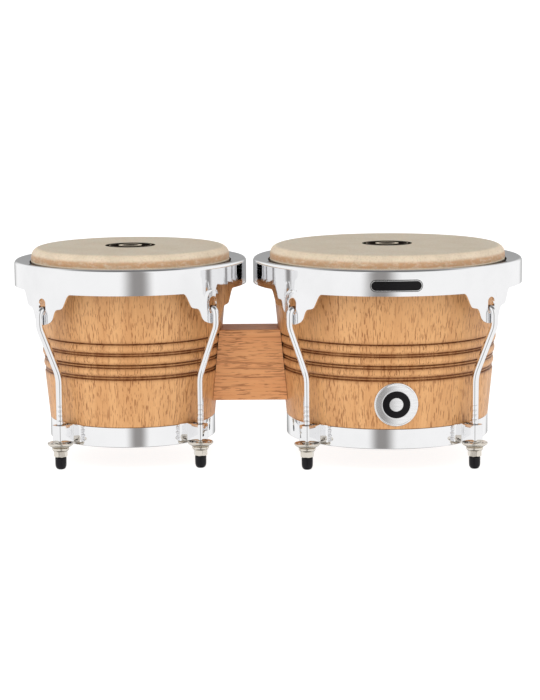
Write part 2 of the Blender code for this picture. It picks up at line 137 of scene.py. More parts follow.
class BongoShellSettings(bpy.types.PropertyGroup):
    """The turned wooden shells."""
    groove_depth: length("Groove depth", "How deep the turned grooves go below the beads", 2.3 * MM)
    shoulder: length("Shoulder", "Width of the rounding beyond the outermost grooves", 1.5 * MM)
    burn_width: length("Burn width", "Half width of the burnt line in each groove", 0.85 * MM)
    wall: length("Wall", "Thickness of the shell's wall", 9.5 * MM)
    light: colour("Light wood", "Wood between the pores", 225, 171, 116)
    dark: colour("Dark wood", "Wood of the darker growth", 206, 149, 96)
    pore: colour("Pores", "The short dark pores along the grain", 126, 68, 26)
    # This colour paints the burnt lines and also the painted shade beside each groove.
    burn: colour("Burn", "The burnt lines in the grooves", 98, 44, 8)


class BongoBlockSettings(bpy.types.PropertyGroup):
    """The wooden block between the drums."""
    edge: length("Edge", "Radius of the block's long edges", 1.2 * MM)
    light: colour("Light wood", "Wood between the pores", 232, 170, 115)
    dark: colour("Dark wood", "Wood of the darker growth", 216, 146, 92)
    pore: colour("Pores", "The dark pores along the grain", 140, 84, 48)


class BongoHeadSettings(bpy.types.PropertyGroup):
    """The drum heads and the print in the middle of each."""
    skin: length("Skin", "Thickness of the skin", 1.2 * MM)
    ripple: length("Ripple", "Unevenness of the collar", 0.16 * MM)
    print_radius: length("Print radius", "Radius of the plain dark print", 21.4 * MM)
    # The top's greyer tone is a painted reflection of the surroundings on the flat skin.
    top: colour("Top", "The flat playing surface", 208, 196, 176)
    collar: colour("Collar", "The skin down the side", 238, 220, 194)
    tuck: colour("Stain", "The stained lower part of the collar", 206, 156, 112)
    ink: colour("Ink", "The print", 26, 21, 18)


class BongoRimSettings(bpy.types.PropertyGroup):
    """The pressed tension rims."""
    sheet: length("Sheet", "Thickness of the rim's sheet", 2.4 * MM)
    boss: length("Boss", "How far the boss round each slot stands out", 0.75 * MM)
    boss_half: length("Boss half width", "Half width of the boss", 7.8 * MM)
    edge: length("Edge", "Radius of the sheet's edges", 0.55 * MM)
    chrome: colour("Chrome", "Polished plating", 243, 243, 244)


class BongoHookSettings(bpy.types.PropertyGroup):
    """The tuning hooks and what is on their rods."""
    rod_radius: length("Rod radius", "Radius of the tuning hooks' rods", 3.05 * MM)
    pitch: length("Thread pitch", "Distance from one turn of the thread to the next", 1.0 * MM)
    thread_top: length("Thread top", "Height at which the thread ends", 56.0 * MM)
    strap: length("Strap", "Thickness of the brackets' strap", 2.0 * MM)
    nut_flats: length("Nut flats", "Distance across the nuts' flats", 10.0 * MM)
    nickel: colour("Nickel", "Plating of washers and nuts", 226, 219, 208)
    rubber: colour("Rubber", "The tips", 14, 12, 16)


class BongoBadgeSettings(bpy.types.PropertyGroup):
    """The badge on the shell and the plate on the rim."""
    sheet: length("Badge sheet", "Thickness of the badge", 0.8 * MM)
    border: length("Border", "Width of the raised border", 1.1 * MM)
    silver: colour("Silver", "Brushed metal", 244, 244, 244)
    enamel: colour("Enamel", "Dark enamel", 20, 19, 21)


class BongoStageSettings(bpy.types.PropertyGroup):
    """The floor, lights and camera."""
    floor: colour("Floor", "The floor and backdrop", 150, 150, 150)
    surround: share("Surround", "Brightness of the room", 1.0, 4.0)
    key: bpy.props.FloatProperty(name="Key light", description="Power of the light above the front",
                                 default=9.5, min=0.0, unit="POWER")
    lens: bpy.props.FloatProperty(name="Lens", description="Focal length for a 36 mm wide sensor",
                                  default=144.59, min=20.0, unit="CAMERA")


# Node trees ---------------------------------------------------------------

class ShapeTree:
    """A geometry node tree with named inputs, built one node at a time."""

    def __init__(self, name):
        self.tree = bpy.data.node_groups.new(name, "GeometryNodeTree")
        self.tree.interface.new_socket("Geometry", in_out="OUTPUT", socket_type="NodeSocketGeometry")
        self.sources = self.tree.nodes.new("NodeGroupInput")

    def named(self, name, kind="Float", value=None):
        socket = self.tree.interface.new_socket(name, in_out="INPUT", socket_type=f"NodeSocket{kind}")
        if value is not None:
            socket.default_value = value
        return self.sources.outputs[name]

    def node(self, kind, outlet=0, settings=None, **inputs):
        node = self.tree.nodes.new(kind)
        for key, value in (settings or {}).items():
            setattr(node, key, value)
        for key, value in inputs.items():
            socket = node.inputs[int(key[1:])] if key[1:].isdigit() else node.inputs[key.replace("_", " ")]
            self.feed(socket, value)
        return node.outputs[outlet]

    def feed(self, socket, value):
        if isinstance(value, bpy.types.NodeSocket):
            self.tree.links.new(value, socket)
        else:
            socket.default_value = value

    def sum(self, operation, first, second=0.0, third=0.0):
        return self.node("ShaderNodeMath", settings={"operation": operation}, i0=first, i1=second, i2=third)

    def finish(self, geometry):
        """Realize the instances, give them the material and end the tree."""
        real = self.node("GeometryNodeRealizeInstances", Geometry=geometry)
        painted = self.node("GeometryNodeSetMaterial", Geometry=real, Material=self.named("Material", "Material"))
        end = self.tree.nodes.new("NodeGroupOutput")
        self.tree.links.new(painted, end.inputs[0])
        return self.tree


def shaped(item, tree, **values):
    """Run a tree on an object and keep the result as its plain mesh."""
    modifier = item.modifiers.new(tree.name, "NODES")
    modifier.node_group = tree
    for socket in tree.interface.items_tree:
        key = socket.name.lower().replace(" ", "_")
        if socket.in_out == "INPUT" and key in values:
            modifier[socket.identifier] = values[key]
    return baked(item)


def baked(item):
    """Turn an object's modifiers into its own mesh."""
    bpy.context.view_layer.update()
    graph = bpy.context.evaluated_depsgraph_get()
    mesh = bpy.data.meshes.new_from_object(item.evaluated_get(graph))
    item.modifiers.clear()
    item.data = mesh
    return item


def shell_tree():
    """The outside of a shell: a cone with beads turned between burnt grooves, with a painted shade fading out beside
    each groove.
    """
    tree = ShapeTree("turned_shell")
    steps = tree.named("Steps", "Int", ROUND)
    rows = tree.named("Rows", "Int", 300)
    centre = tree.named("Centre")
    bottom, top = tree.named("Bottom"), tree.named("Top")
    low_radius, taper, edge = tree.named("Low Radius"), tree.named("Taper"), tree.named("Edge Radius")
    depth, shoulder = tree.named("Groove Depth"), tree.named("Shoulder")
    burn_width = tree.named("Burn Width")
    grooves = [tree.named(f"Groove {number}") for number in range(7)]
    grid = tree.node("GeometryNodeMeshGrid", Size_X=1.0, Size_Y=1.0,
                     Vertices_X=tree.sum("ADD", steps, 1.0), Vertices_Y=rows)
    spot = tree.tree.nodes.new("ShaderNodeSeparateXYZ")
    tree.feed(spot.inputs[0], tree.node("GeometryNodeInputPosition"))
    angle = tree.sum("MULTIPLY", tree.sum("ADD", spot.outputs[0], 0.75), TURN)
    share_up = tree.sum("ADD", spot.outputs[1], 0.5)
    height = tree.sum("MULTIPLY_ADD", share_up, tree.sum("SUBTRACT", top, bottom), bottom)
    cone = tree.sum("MULTIPLY_ADD", tree.sum("SUBTRACT", height, bottom), taper, low_radius)
    cone = tree.sum("SMOOTH_MIN", cone, edge, 0.8 * MM)
    off = [tree.sum("ABSOLUTE", tree.sum("SUBTRACT", height, groove)) for groove in grooves]
    near = off[0]
    for other in off[1:]:
        near = tree.sum("MINIMUM", near, other)
    bead = tree.sum("DIVIDE", tree.sum("SUBTRACT", grooves[0], grooves[6]), 7.5)
    inside = tree.sum("MULTIPLY", tree.sum("GREATER_THAN", height, grooves[6]),
                      tree.sum("LESS_THAN", height, grooves[0]))
    half = tree.sum("MULTIPLY_ADD", tree.sum("SUBTRACT", bead, shoulder), inside, shoulder)
    short = tree.sum("SUBTRACT", 1.0, tree.sum("MINIMUM", tree.sum("DIVIDE", near, half), 1.0))
    rise = tree.sum("SQRT", tree.sum("SUBTRACT", 1.0, tree.sum("MULTIPLY", short, short)))
    radius = tree.sum("SUBTRACT", cone, tree.sum("MULTIPLY", depth, tree.sum("SUBTRACT", 1.0, rise)))
    place = tree.node("ShaderNodeCombineXYZ",
                      X=tree.sum("MULTIPLY_ADD", radius, tree.sum("COSINE", angle), centre),
                      Y=tree.sum("MULTIPLY", radius, tree.sum("SINE", angle)), Z=height)
    burn = tree.node("ShaderNodeMapRange", settings={"interpolation_type": "SMOOTHSTEP"}, i0=near,
                     i1=tree.sum("MULTIPLY", burn_width, 0.25), i2=tree.sum("MULTIPLY", burn_width, 1.7),
                     i3=1.0, i4=0.0)
    # Painted shade: a wide soft darkening beside each groove stands in for the shade on the beads. It is stored
    # together with the burnt line.
    painted_groove_shade = tree.node("ShaderNodeMapRange", settings={"interpolation_type": "SMOOTHSTEP"}, i0=near,
                     i1=tree.sum("MULTIPLY", burn_width, 0.6), i2=tree.sum("MULTIPLY", burn_width, 4.4),
                     i3=0.34, i4=0.0)
    burn = tree.sum("MAXIMUM", burn, painted_groove_shade)
    kept = tree.node("GeometryNodeStoreNamedAttribute", settings={"data_type": "FLOAT", "domain": "POINT"},
                     Geometry=grid, Name="burn", Value=burn)
    moved = tree.node("GeometryNodeSetPosition", Geometry=kept, Position=place)
    return tree.finish(tree.node("GeometryNodeMergeByDistance", Geometry=moved, Distance=0.001 * MM))


def thread_tree():
    """A right-handed thread wound round a rod."""
    tree = ShapeTree("rod_thread")
    start = tree.named("Start", "Vector")
    radius, pitch = tree.named("Radius"), tree.named("Pitch")
    rise, ridge = tree.named("Rise"), tree.named("Ridge")
    per_turn = 18
    count = tree.sum("ROUND", tree.sum("MULTIPLY", tree.sum("DIVIDE", rise, pitch), float(per_turn)))
    line = tree.node("GeometryNodeMeshLine", Count=count)
    along = tree.sum("DIVIDE", tree.node("GeometryNodeInputIndex"), float(per_turn))
    angle = tree.sum("MULTIPLY", along, TURN)
    runout = tree.sum("MINIMUM", 1.0, tree.sum("DIVIDE", tree.sum("SUBTRACT",
                      tree.sum("DIVIDE", count, float(per_turn)), along), 1.5))
    reach = tree.sum("SUBTRACT", radius, tree.sum("MULTIPLY", ridge, tree.sum("SUBTRACT", 1.0, runout)))
    spot = tree.node("ShaderNodeCombineXYZ", X=tree.sum("MULTIPLY", reach, tree.sum("COSINE", angle)),
                     Y=tree.sum("MULTIPLY", reach, tree.sum("SINE", angle)),
                     Z=tree.sum("MULTIPLY", along, pitch))
    placed = tree.node("ShaderNodeVectorMath", settings={"operation": "ADD"}, i0=spot, i1=start)
    helix = tree.node("GeometryNodeSetPosition", Geometry=line, Position=placed)
    curve = tree.node("GeometryNodeMeshToCurve", Mesh=helix)
    profile = tree.node("GeometryNodeCurvePrimitiveCircle", Resolution=4, Radius=ridge)
    wound = tree.node("GeometryNodeCurveToMesh", Curve=curve, Profile_Curve=profile, Fill_Caps=True)
    return tree.finish(wound)


def four_round_tree():
    """Copies of one piece at the lugs of a drum, joined where they meet."""
    tree = ShapeTree("four_round")
    piece = tree.named("Piece", "Geometry")
    centre = tree.named("Centre", "Vector")
    first, count = tree.named("First Turn"), tree.named("Count", "Int", 4)
    weld = tree.named("Weld", "Float", 0.001 * MM)
    points = tree.node("GeometryNodePoints", Count=count)
    step = tree.sum("DIVIDE", TURN, count)
    turn = tree.node("ShaderNodeCombineXYZ", Z=tree.sum("MULTIPLY_ADD", tree.node("GeometryNodeInputIndex"), step, first))
    one = tree.node("GeometryNodeGeometryToInstance", Geometry=piece)
    copies = tree.node("GeometryNodeInstanceOnPoints", Points=points, Instance=one, Rotation=turn)
    moved = tree.node("GeometryNodeTransform", Geometry=copies, Translation=centre)
    real = tree.node("GeometryNodeRealizeInstances", Geometry=moved)
    return tree.finish(tree.node("GeometryNodeMergeByDistance", Geometry=real, Distance=weld))


TREES = {}


def shape_tree(make):
    """The tree that a function makes, made once."""
    if make.__name__ not in TREES:
        TREES[make.__name__] = make()
    return TREES[make.__name__]


# Mesh helpers -------------------------------------------------------------

def new_object(name, verts=(), faces=()):
    mesh = bpy.data.meshes.new(name)
    mesh.from_pydata([tuple(v) for v in verts], [], [tuple(f) for f in faces])
    item = bpy.data.objects.new(name, mesh)
    bpy.context.scene.collection.objects.link(item)
    return item


def tidy_mesh(item, weld=0.001 * MM, closed=True):
    """Weld doubles and, on a closed shape, point the faces outwards."""
    bm = bmesh.new()
    bm.from_mesh(item.data)
    bmesh.ops.remove_doubles(bm, verts=bm.verts, dist=weld)
    bmesh.ops.dissolve_degenerate(bm, edges=bm.edges, dist=weld / 10)
    if closed:
        bmesh.ops.recalc_face_normals(bm, faces=bm.faces)
    bm.to_mesh(item.data)
    bm.free()
    return item


def add_piece(item, finish, body, nodes=(), sharp=35.0):
    """Finish a mesh and tie it to the frame: its material, smoothing, body and the nodes it stands for."""
    item.data.materials.clear()
    item.data.materials.append(material(finish))
    item.data.shade_smooth()
    item.data.set_sharp_from_angle(angle=math.radians(sharp))
    if body:
        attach(item, body)
    if nodes:
        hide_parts(*nodes)
    return item


def join(first, *others):
    """Put several meshes into the first object."""
    bm = bmesh.new()
    for item in (first, *others):
        bm.from_mesh(item.data)
    bm.to_mesh(first.data)
    bm.free()
    for item in others:
        bpy.data.objects.remove(item, do_unlink=True)
    return first


def lathe(name, profile, centre=(0.0, 0.0), steps=ROUND, closed=True, wave=None):
    """Turn (radius, height) points about an upright axis.  wave(angle, number) adds to a point's radius."""
    verts, rings = [], []
    for number, (radius, height) in enumerate(profile):
        if radius < 1e-9:
            rings.append([len(verts)] * steps)
            verts.append((centre[0], centre[1], height))
            continue
        rings.append(list(range(len(verts), len(verts) + steps)))
        for step in range(steps):
            angle = TURN * (step / steps + 0.25)
            reach = radius + (wave(angle, number) if wave else 0.0)
            verts.append((centre[0] + reach * math.cos(angle), centre[1] + reach * math.sin(angle), height))
    pairs = list(zip(rings, rings[1:]))
    if closed and profile[0][0] > 1e-9:
        pairs.append((rings[-1], rings[0]))
    faces = []
    for low, high in pairs:
        for step in range(steps):
            after = (step + 1) % steps
            corners = [low[step], low[after], high[after], high[step]]
            faces.append([c for i, c in enumerate(corners) if c not in corners[:i]])
    return new_object(name, verts, [face for face in faces if len(face) > 2])


def arc(centre, radius, start, end, steps):
    """Points on an arc, angles in degrees."""
    angles = [math.radians(start + (end - start) * i / steps) for i in range(steps + 1)]
    return [(centre[0] + radius * math.cos(a), centre[1] + radius * math.sin(a)) for a in angles]


def rounded(points, radii, steps=6):
    """An open line with an arc of the given radius at each inner corner."""
    line = [Vector(points[0])]
    for before, corner, after, radius in zip(points, points[1:], points[2:], radii):
        corner = Vector(corner)
        back, on = (Vector(before) - corner).normalized(), (Vector(after) - corner).normalized()
        half = back.angle(on) / 2
        if not radius:
            line.append(corner)
            continue
        reach = radius / math.tan(half)
        middle = corner + (back + on).normalized() * (radius / math.sin(half))
        start = (corner + back * reach - middle).normalized()
        end = (corner + on * reach - middle).normalized()
        line += [middle + radius * start.slerp(end, step / steps) for step in range(steps + 1)]
    return line + [Vector(points[-1])]


def smooth(low, high, value):
    share_in = min(max((value - low) / (high - low), 0.0), 1.0)
    return share_in * share_in * (3 - 2 * share_in)


def curve_through(points, value):
    """The height at a distance along smooth steps through (distance, height) points, in rising distance."""
    if value >= points[-1][0]:
        return points[-1][1]
    slopes = []
    for number, (x, y) in enumerate(points):
        before = points[max(number - 1, 0)]
        after = points[min(number + 1, len(points) - 1)]
        slopes.append((after[1] - before[1]) / (after[0] - before[0]))
    slopes[0] = slopes[-1] = 0.0
    for number in range(len(points) - 1):
        (x0, y0), (x1, y1) = points[number], points[number + 1]
        if value <= x1:
            gap = x1 - x0
            t = (value - x0) / gap
            return ((2 * t ** 3 - 3 * t ** 2 + 1) * y0 + (t ** 3 - 2 * t ** 2 + t) * gap * slopes[number]
                    + (3 * t ** 2 - 2 * t ** 3) * y1 + (t ** 3 - t ** 2) * gap * slopes[number + 1])
    return points[-1][1]


# Finishes -----------------------------------------------------------------

class Finish:
    """A material built one node at a time on Object coordinates."""

    def __init__(self, name):
        self.material = bpy.data.materials.new(name)
        self.material.use_nodes = True
        self.nodes = self.material.node_tree.nodes
        self.shader = self.nodes["Principled BSDF"]
        self.place = self.nodes.new("ShaderNodeTexCoord").outputs["Object"]

    def feed(self, socket, value):
        if isinstance(value, bpy.types.NodeSocket):
            self.material.node_tree.links.new(value, socket)
        elif hasattr(value, "__len__") and len(value) == 3 and len(socket.default_value) == 4:
            socket.default_value = (*value, 1.0)
        else:
            socket.default_value = value

    def node(self, kind, outlet=0, settings=None, **inputs):
        node = self.nodes.new(kind)
        for key, value in (settings or {}).items():
            setattr(node, key, value)
        for key, value in inputs.items():
            socket = node.inputs[int(key[1:])] if key[1:].isdigit() else node.inputs[key.replace("_", " ")]
            self.feed(socket, value)
        return node.outputs[outlet]

    def set(self, **values):
        for key, value in values.items():
            self.feed(self.shader.inputs[key.replace("_", " ")], value)

    def stretched(self, scale, move=(0.0, 0.0, 0.0)):
        return self.node("ShaderNodeMapping", Vector=self.place, Scale=scale, Location=move)

    def noise(self, vector, scale, detail=2.0, roughness=0.5, distortion=0.0):
        return self.node("ShaderNodeTexNoise", Vector=vector, Scale=scale, Detail=detail,
                         Roughness=roughness, Distortion=distortion)

    def between(self, value, low, high, out_low=0.0, out_high=1.0):
        return self.node("ShaderNodeMapRange", settings={"interpolation_type": "SMOOTHSTEP"},
                         i0=value, i1=low, i2=high, i3=out_low, i4=out_high)

    def mix(self, factor, first, second):
        return self.node("ShaderNodeMix", outlet=2, settings={"data_type": "RGBA"}, i0=factor, i6=first, i7=second)

    def sum(self, operation, first, second=0.0, third=0.0):
        return self.node("ShaderNodeMath", settings={"operation": operation}, i0=first, i1=second, i2=third)

    def axis(self, which):
        return self.node("ShaderNodeSeparateXYZ", outlet="XYZ".index(which), i0=self.place)

    def raised(self, height, distance, strength=1.0):
        self.set(Normal=self.node("ShaderNodeBump", Height=height, Distance=distance, Strength=strength))


def wood(finish, settings, grain):
    """Wood grain along one axis: broad growth, fine fibre and short dark pores.  Returns colour and pores."""
    squeeze = {"X": (0.04, 1.0, 1.0), "Z": (1.0, 1.0, 0.04)}[grain]
    longer = tuple(0.02 if part < 1 else 1.0 for part in squeeze)
    growth = finish.noise(finish.stretched(longer), 75.0, 3.0, 0.55, 0.4)
    fibre = finish.noise(finish.stretched(squeeze), 620.0, 3.0, 0.6)
    patches = finish.noise(finish.stretched((1.0, 1.0, 1.0)), 28.0, 2.0)
    shorter = tuple(0.09 if part < 1 else 1.0 for part in squeeze)
    dashes = finish.noise(finish.stretched(shorter), 980.0, 2.0, 0.55)
    longest = finish.noise(finish.stretched(tuple(1.0 * part for part in squeeze), (0.37, 0.11, 0.05)), 640.0, 2.0, 0.5)
    pores = finish.sum("MAXIMUM", finish.between(dashes, 0.56, 0.64), finish.between(longest, 0.59, 0.66, 0.0, 0.8))
    pores = finish.sum("MULTIPLY", pores, finish.between(patches, 0.3, 0.6, 0.55, 1.0))
    base = finish.mix(finish.between(growth, 0.34, 0.7, 0.0, 0.75), tuple(settings.light), tuple(settings.dark))
    base = finish.mix(finish.between(fibre, 0.42, 0.75, 0.0, 0.55), base, tuple(settings.dark))
    base = finish.mix(finish.sum("MULTIPLY", pores, 0.72), base, tuple(settings.pore))
    return base, pores, fibre


def shell_wood():
    settings = bpy.context.scene.bongo_shells
    finish = Finish("lacquered_shell_wood")
    base, pores, fibre = wood(finish, settings, "Z")
    # The stored value is the burnt line in each groove plus a painted shade beside it; both are coloured with the burn
    # colour.
    burn = finish.node("ShaderNodeAttribute", outlet="Fac", settings={"attribute_name": "burn"})
    uneven = finish.between(finish.noise(finish.stretched((1.0, 1.0, 0.4)), 190.0, 3.0, 0.6), 0.3, 0.7, 0.72, 1.0)
    scorch_and_shade = finish.sum("MULTIPLY", burn, uneven)
    finish.set(Base_Color=finish.mix(scorch_and_shade, base, tuple(settings.burn)),
               Roughness=finish.between(fibre, 0.3, 0.7, 0.3, 0.46), Coat_Weight=0.12,
               Coat_Roughness=0.12, Specular_IOR_Level=0.25)
    finish.raised(finish.sum("SUBTRACT", finish.sum("MULTIPLY", fibre, 0.3), pores), 0.06 * MM, 0.6)
    return finish.material


def block_wood():
    finish = Finish("lacquered_block_wood")
    base, pores, fibre = wood(finish, bpy.context.scene.bongo_block, "X")
    finish.set(Base_Color=base, Roughness=finish.between(fibre, 0.3, 0.7, 0.36, 0.52), Coat_Weight=0.1,
               Coat_Roughness=0.2, Specular_IOR_Level=0.3)
    finish.raised(finish.sum("SUBTRACT", finish.sum("MULTIPLY", fibre, 0.3), pores), 0.07 * MM, 0.7)
    return finish.material


def head_skin():
    settings = bpy.context.scene.bongo_heads
    finish = Finish("calf_grained_skin")
    height = finish.axis("Z")
    top = LARGE.head_top
    cloud = finish.noise(finish.place, 34.0, 4.0, 0.6)
    fibres = finish.noise(finish.stretched((1.0, 1.0, 0.35)), 820.0, 4.0, 0.7, 0.6)
    blotches = finish.noise(finish.stretched((1.0, 1.0, 2.2)), 170.0, 5.0, 0.65)
    shoulder = finish.between(height, top - 1.6 * MM, top - 0.3 * MM)
    collar = finish.between(height, top - 7.5 * MM, top - 4.5 * MM)
    stain = finish.sum("MULTIPLY", finish.between(blotches, 0.26, 0.56, 0.25, 1.0), finish.between(height, top - 11.6 * MM, top - 10.6 * MM))
    low = finish.mix(finish.sum("MULTIPLY", stain, 0.9), tuple(settings.collar), tuple(settings.tuck))
    low = finish.mix(collar, low, tuple(settings.collar))
    # Painted shade: a near-black band at the foot of the collar, from about 11.7 mm below the top down, stands in for
    # the shade in the gap inside the rim.
    low = finish.mix(finish.between(height, top - 12.5 * MM, top - 11.7 * MM), paint(58, 46, 36), low)
    # The flat top is given a greyer colour than the collar: a painted reflection of the grey surroundings.
    skin = finish.mix(shoulder, low, tuple(settings.top))
    stained = finish.mix(finish.between(cloud, 0.35, 0.7, 0.0, 0.3), skin, paint(190, 170, 142))
    mottled = finish.mix(finish.between(fibres, 0.45, 0.72, 0.0, 0.4), stained, paint(176, 152, 126))
    finish.set(Base_Color=mottled, Roughness=finish.between(fibres, 0.3, 0.7, 0.44, 0.62), Subsurface_Weight=0.08, Specular_IOR_Level=0.3,
               Subsurface_Scale=1.5 * MM)
    finish.raised(fibres, 0.12 * MM, 0.6)
    return finish.material


def head_print():
    settings = bpy.context.scene.bongo_heads
    finish = Finish("printed_ink")
    radial = finish.node("ShaderNodeAttribute", outlet="Fac", settings={"attribute_name": "radial"})
    speck = finish.noise(finish.place, 1500.0, 3.0, 0.6)
    line = finish.sum("SUBTRACT", 1.0, finish.between(finish.sum("ABSOLUTE", finish.sum("SUBTRACT", radial, 0.83)), 0.018, 0.03))
    ring = finish.sum("SUBTRACT", 1.0, finish.between(finish.sum("ABSOLUTE", finish.sum("SUBTRACT", radial, 0.4)), 0.055, 0.075))
    lines = finish.sum("MAXIMUM", finish.sum("MULTIPLY", line, 0.35), ring)
    ink = finish.mix(finish.between(speck, 0.5, 0.8, 0.0, 0.15), tuple(settings.ink), paint(80, 72, 64))
    finish.set(Base_Color=finish.mix(lines, ink, tuple(settings.top)), Roughness=finish.between(speck, 0.3, 0.7, 0.45, 0.65), Specular_IOR_Level=0.0)
    finish.raised(speck, 0.03 * MM, 0.4)
    return finish.material


def plated(name, base, smoothest, roughest, waviness):
    """Bright plating: almost a mirror, with faint polishing marks and a slightly wavy surface."""
    finish = Finish(name)
    marks = finish.noise(finish.stretched((1.0, 1.0, 5.0)), 900.0, 3.0, 0.6)
    wave = finish.noise(finish.place, 60.0, 1.0, 0.4)
    haze = finish.noise(finish.place, 25.0, 3.0, 0.6)
    dimmed = tuple(0.9 * part for part in base)
    finish.set(Base_Color=finish.mix(finish.between(haze, 0.35, 0.75, 0.0, 0.5), tuple(base), dimmed), Metallic=1.0,
               Roughness=finish.between(marks, 0.3, 0.75, smoothest, roughest))
    finish.raised(wave, waviness, 0.5)
    return finish.material


def chrome():
    return plated("polished_chrome", bpy.context.scene.bongo_rims.chrome, 0.03, 0.09, 0.12 * MM)


def nickel():
    return plated("satin_nickel", bpy.context.scene.bongo_hooks.nickel, 0.16, 0.3, 0.08 * MM)


def zinc():
    finish = Finish("zinc_plated_steel")
    speck = finish.node("ShaderNodeTexVoronoi", Vector=finish.place, Scale=900.0)
    haze = finish.noise(finish.place, 60.0, 4.0, 0.6)
    finish.set(Base_Color=finish.mix(finish.between(haze, 0.35, 0.7), paint(178, 180, 182), paint(138, 142, 150)),
               Metallic=1.0, Roughness=finish.between(speck, 0.0, 0.8, 0.28, 0.46))
    finish.raised(speck, 0.03 * MM, 0.5)
    return finish.material


def rubber():
    finish = Finish("moulded_rubber")
    grain = finish.noise(finish.place, 2200.0, 3.0, 0.6)
    scuff = finish.noise(finish.stretched((1.0, 1.0, 0.6)), 260.0, 3.0, 0.7)
    low = finish.sum("SUBTRACT", 1.0, finish.between(finish.axis("Z"), 0.2 * MM, 2.2 * MM))
    worn = finish.sum("MULTIPLY", finish.between(scuff, 0.45, 0.8), finish.sum("MULTIPLY_ADD", low, 0.6, 0.25))
    finish.set(Base_Color=finish.mix(worn, tuple(bpy.context.scene.bongo_hooks.rubber), paint(44, 42, 45)),
               Roughness=finish.between(grain, 0.3, 0.7, 0.3, 0.45), Specular_IOR_Level=0.22)
    finish.raised(grain, 0.04 * MM, 0.6)
    return finish.material


def badge_metal():
    settings = bpy.context.scene.bongo_badge
    finish = Finish("brushed_badge")
    radial = finish.node("ShaderNodeAttribute", outlet="Fac", settings={"attribute_name": "radial"})
    brushing = finish.noise(finish.stretched((0.04, 0.04, 1.0)), 2600.0, 3.0, 0.6)
    enamel = finish.sum("MULTIPLY", finish.between(radial, 0.3, 0.315), finish.between(radial, 0.62, 0.635, 1.0, 0.0))
    silver = finish.mix(finish.between(brushing, 0.3, 0.7, 0.0, 0.35), tuple(settings.silver), paint(212, 213, 215))
    finish.set(Base_Color=finish.mix(enamel, silver, tuple(settings.enamel)),
               Metallic=finish.sum("SUBTRACT", 1.0, enamel),
               Roughness=finish.between(brushing, 0.3, 0.7, 0.16, 0.26), Specular_IOR_Level=0.12)
    finish.raised(finish.sum("MULTIPLY_ADD", enamel, -1.5, brushing), 0.03 * MM, 0.6)
    return finish.material


def plate_enamel():
    settings = bpy.context.scene.bongo_badge
    finish = Finish("enamelled_plate")
    radial = finish.node("ShaderNodeAttribute", outlet="Fac", settings={"attribute_name": "radial"})
    speck = finish.noise(finish.place, 1400.0, 3.0, 0.6)
    line = finish.sum("SUBTRACT", 1.0, finish.between(finish.sum("ABSOLUTE", finish.sum("SUBTRACT", radial, 0.84)), 0.03, 0.05))
    dark = finish.mix(finish.between(speck, 0.45, 0.8, 0.0, 0.3), tuple(settings.enamel), paint(40, 38, 40))
    finish.set(Base_Color=finish.mix(line, dark, tuple(settings.silver)), Metallic=line,
               Roughness=finish.between(speck, 0.3, 0.7, 0.22, 0.34), Specular_IOR_Level=0.12)
    finish.raised(line, 0.05 * MM, 0.5)
    return finish.material


def floor_paint():
    finish = Finish("matt_floor_paint")
    settings = bpy.context.scene.bongo_stage
    cloud = finish.noise(finish.place, 3.0, 3.0)
    finish.set(Base_Color=finish.mix(finish.between(cloud, 0.3, 0.7, 0.0, 0.02), tuple(settings.floor), (0.58, 0.58, 0.58)),
               Roughness=0.9, Specular_IOR_Level=0.1, Emission_Color=(1.0, 1.0, 1.0), Emission_Strength=0.89)
    return finish.material


FINISHES = {make.__name__: make for make in (
    shell_wood, block_wood, head_skin, head_print, chrome, nickel, zinc, rubber, badge_metal,
    plate_enamel, floor_paint)}
MADE = {}


def material(name):
    """One of the finishes, made once."""
    if name not in MADE:
        MADE[name] = FINISHES[name]()
    return MADE[name]


# Pieces -------------------------------------------------------------------

GROOVES = (107.8 * MM, 99.6 * MM, 97.7 * MM, 89.8 * MM, 87.6 * MM, 79.9 * MM, 77.7 * MM)


def make_shell(drum):
    """A turned shell: beaded outside, bearing edge, bore and the step for the bottom ring."""
    settings = bpy.context.scene.bongo_shells
    bottom, top = drum.ring_top + 0.3 * MM, drum.head_top - 8.7 * MM
    edge = drum.radius - 2.3 * MM
    shell = shaped(new_object(drum.node("turned_shell")), shape_tree(shell_tree), centre=drum.centre,
                   bottom=bottom, top=top, low_radius=drum.ring_radius + SHELL_TAPER * 0.3 * MM,
                   taper=SHELL_TAPER, edge_radius=edge, groove_depth=settings.groove_depth,
                   shoulder=settings.shoulder, burn_width=settings.burn_width,
                   **{f"groove_{number}": height for number, height in enumerate(GROOVES)},
                   material=material("shell_wood"))
    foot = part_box(drum.node("shell"))[0].z
    crest = drum.head_top - 1.5 * MM
    top_radius = max(math.hypot(v.co.x - drum.centre, v.co.y) for v in shell.data.vertices if v.co.z > top - 0.01 * MM)
    step = drum.ring_radius - 2.5 * MM
    profile = [(top_radius, top), (edge - 0.8 * MM, crest - 3.9 * MM), (edge - 2.9 * MM, crest - 1.4 * MM),
               (edge - 4.6 * MM, crest - 0.35 * MM), (edge - 6.6 * MM, crest), (edge - 7.6 * MM, crest - 0.6 * MM),
               (edge - settings.wall, drum.head_top - 14.0 * MM),
               (drum.shell_outside(foot) - settings.wall, foot), (step - 0.8 * MM, foot),
               (step, foot + 0.8 * MM), (step, bottom), (drum.ring_radius + SHELL_TAPER * 0.3 * MM, bottom)]
    rest = lathe("shell_rest", profile, (drum.centre, 0.0), closed=False)
    tidy_mesh(join(shell, rest), weld=0.02 * MM)
    return add_piece(shell, "shell_wood", "shells", [drum.node("shell")], sharp=28.0)


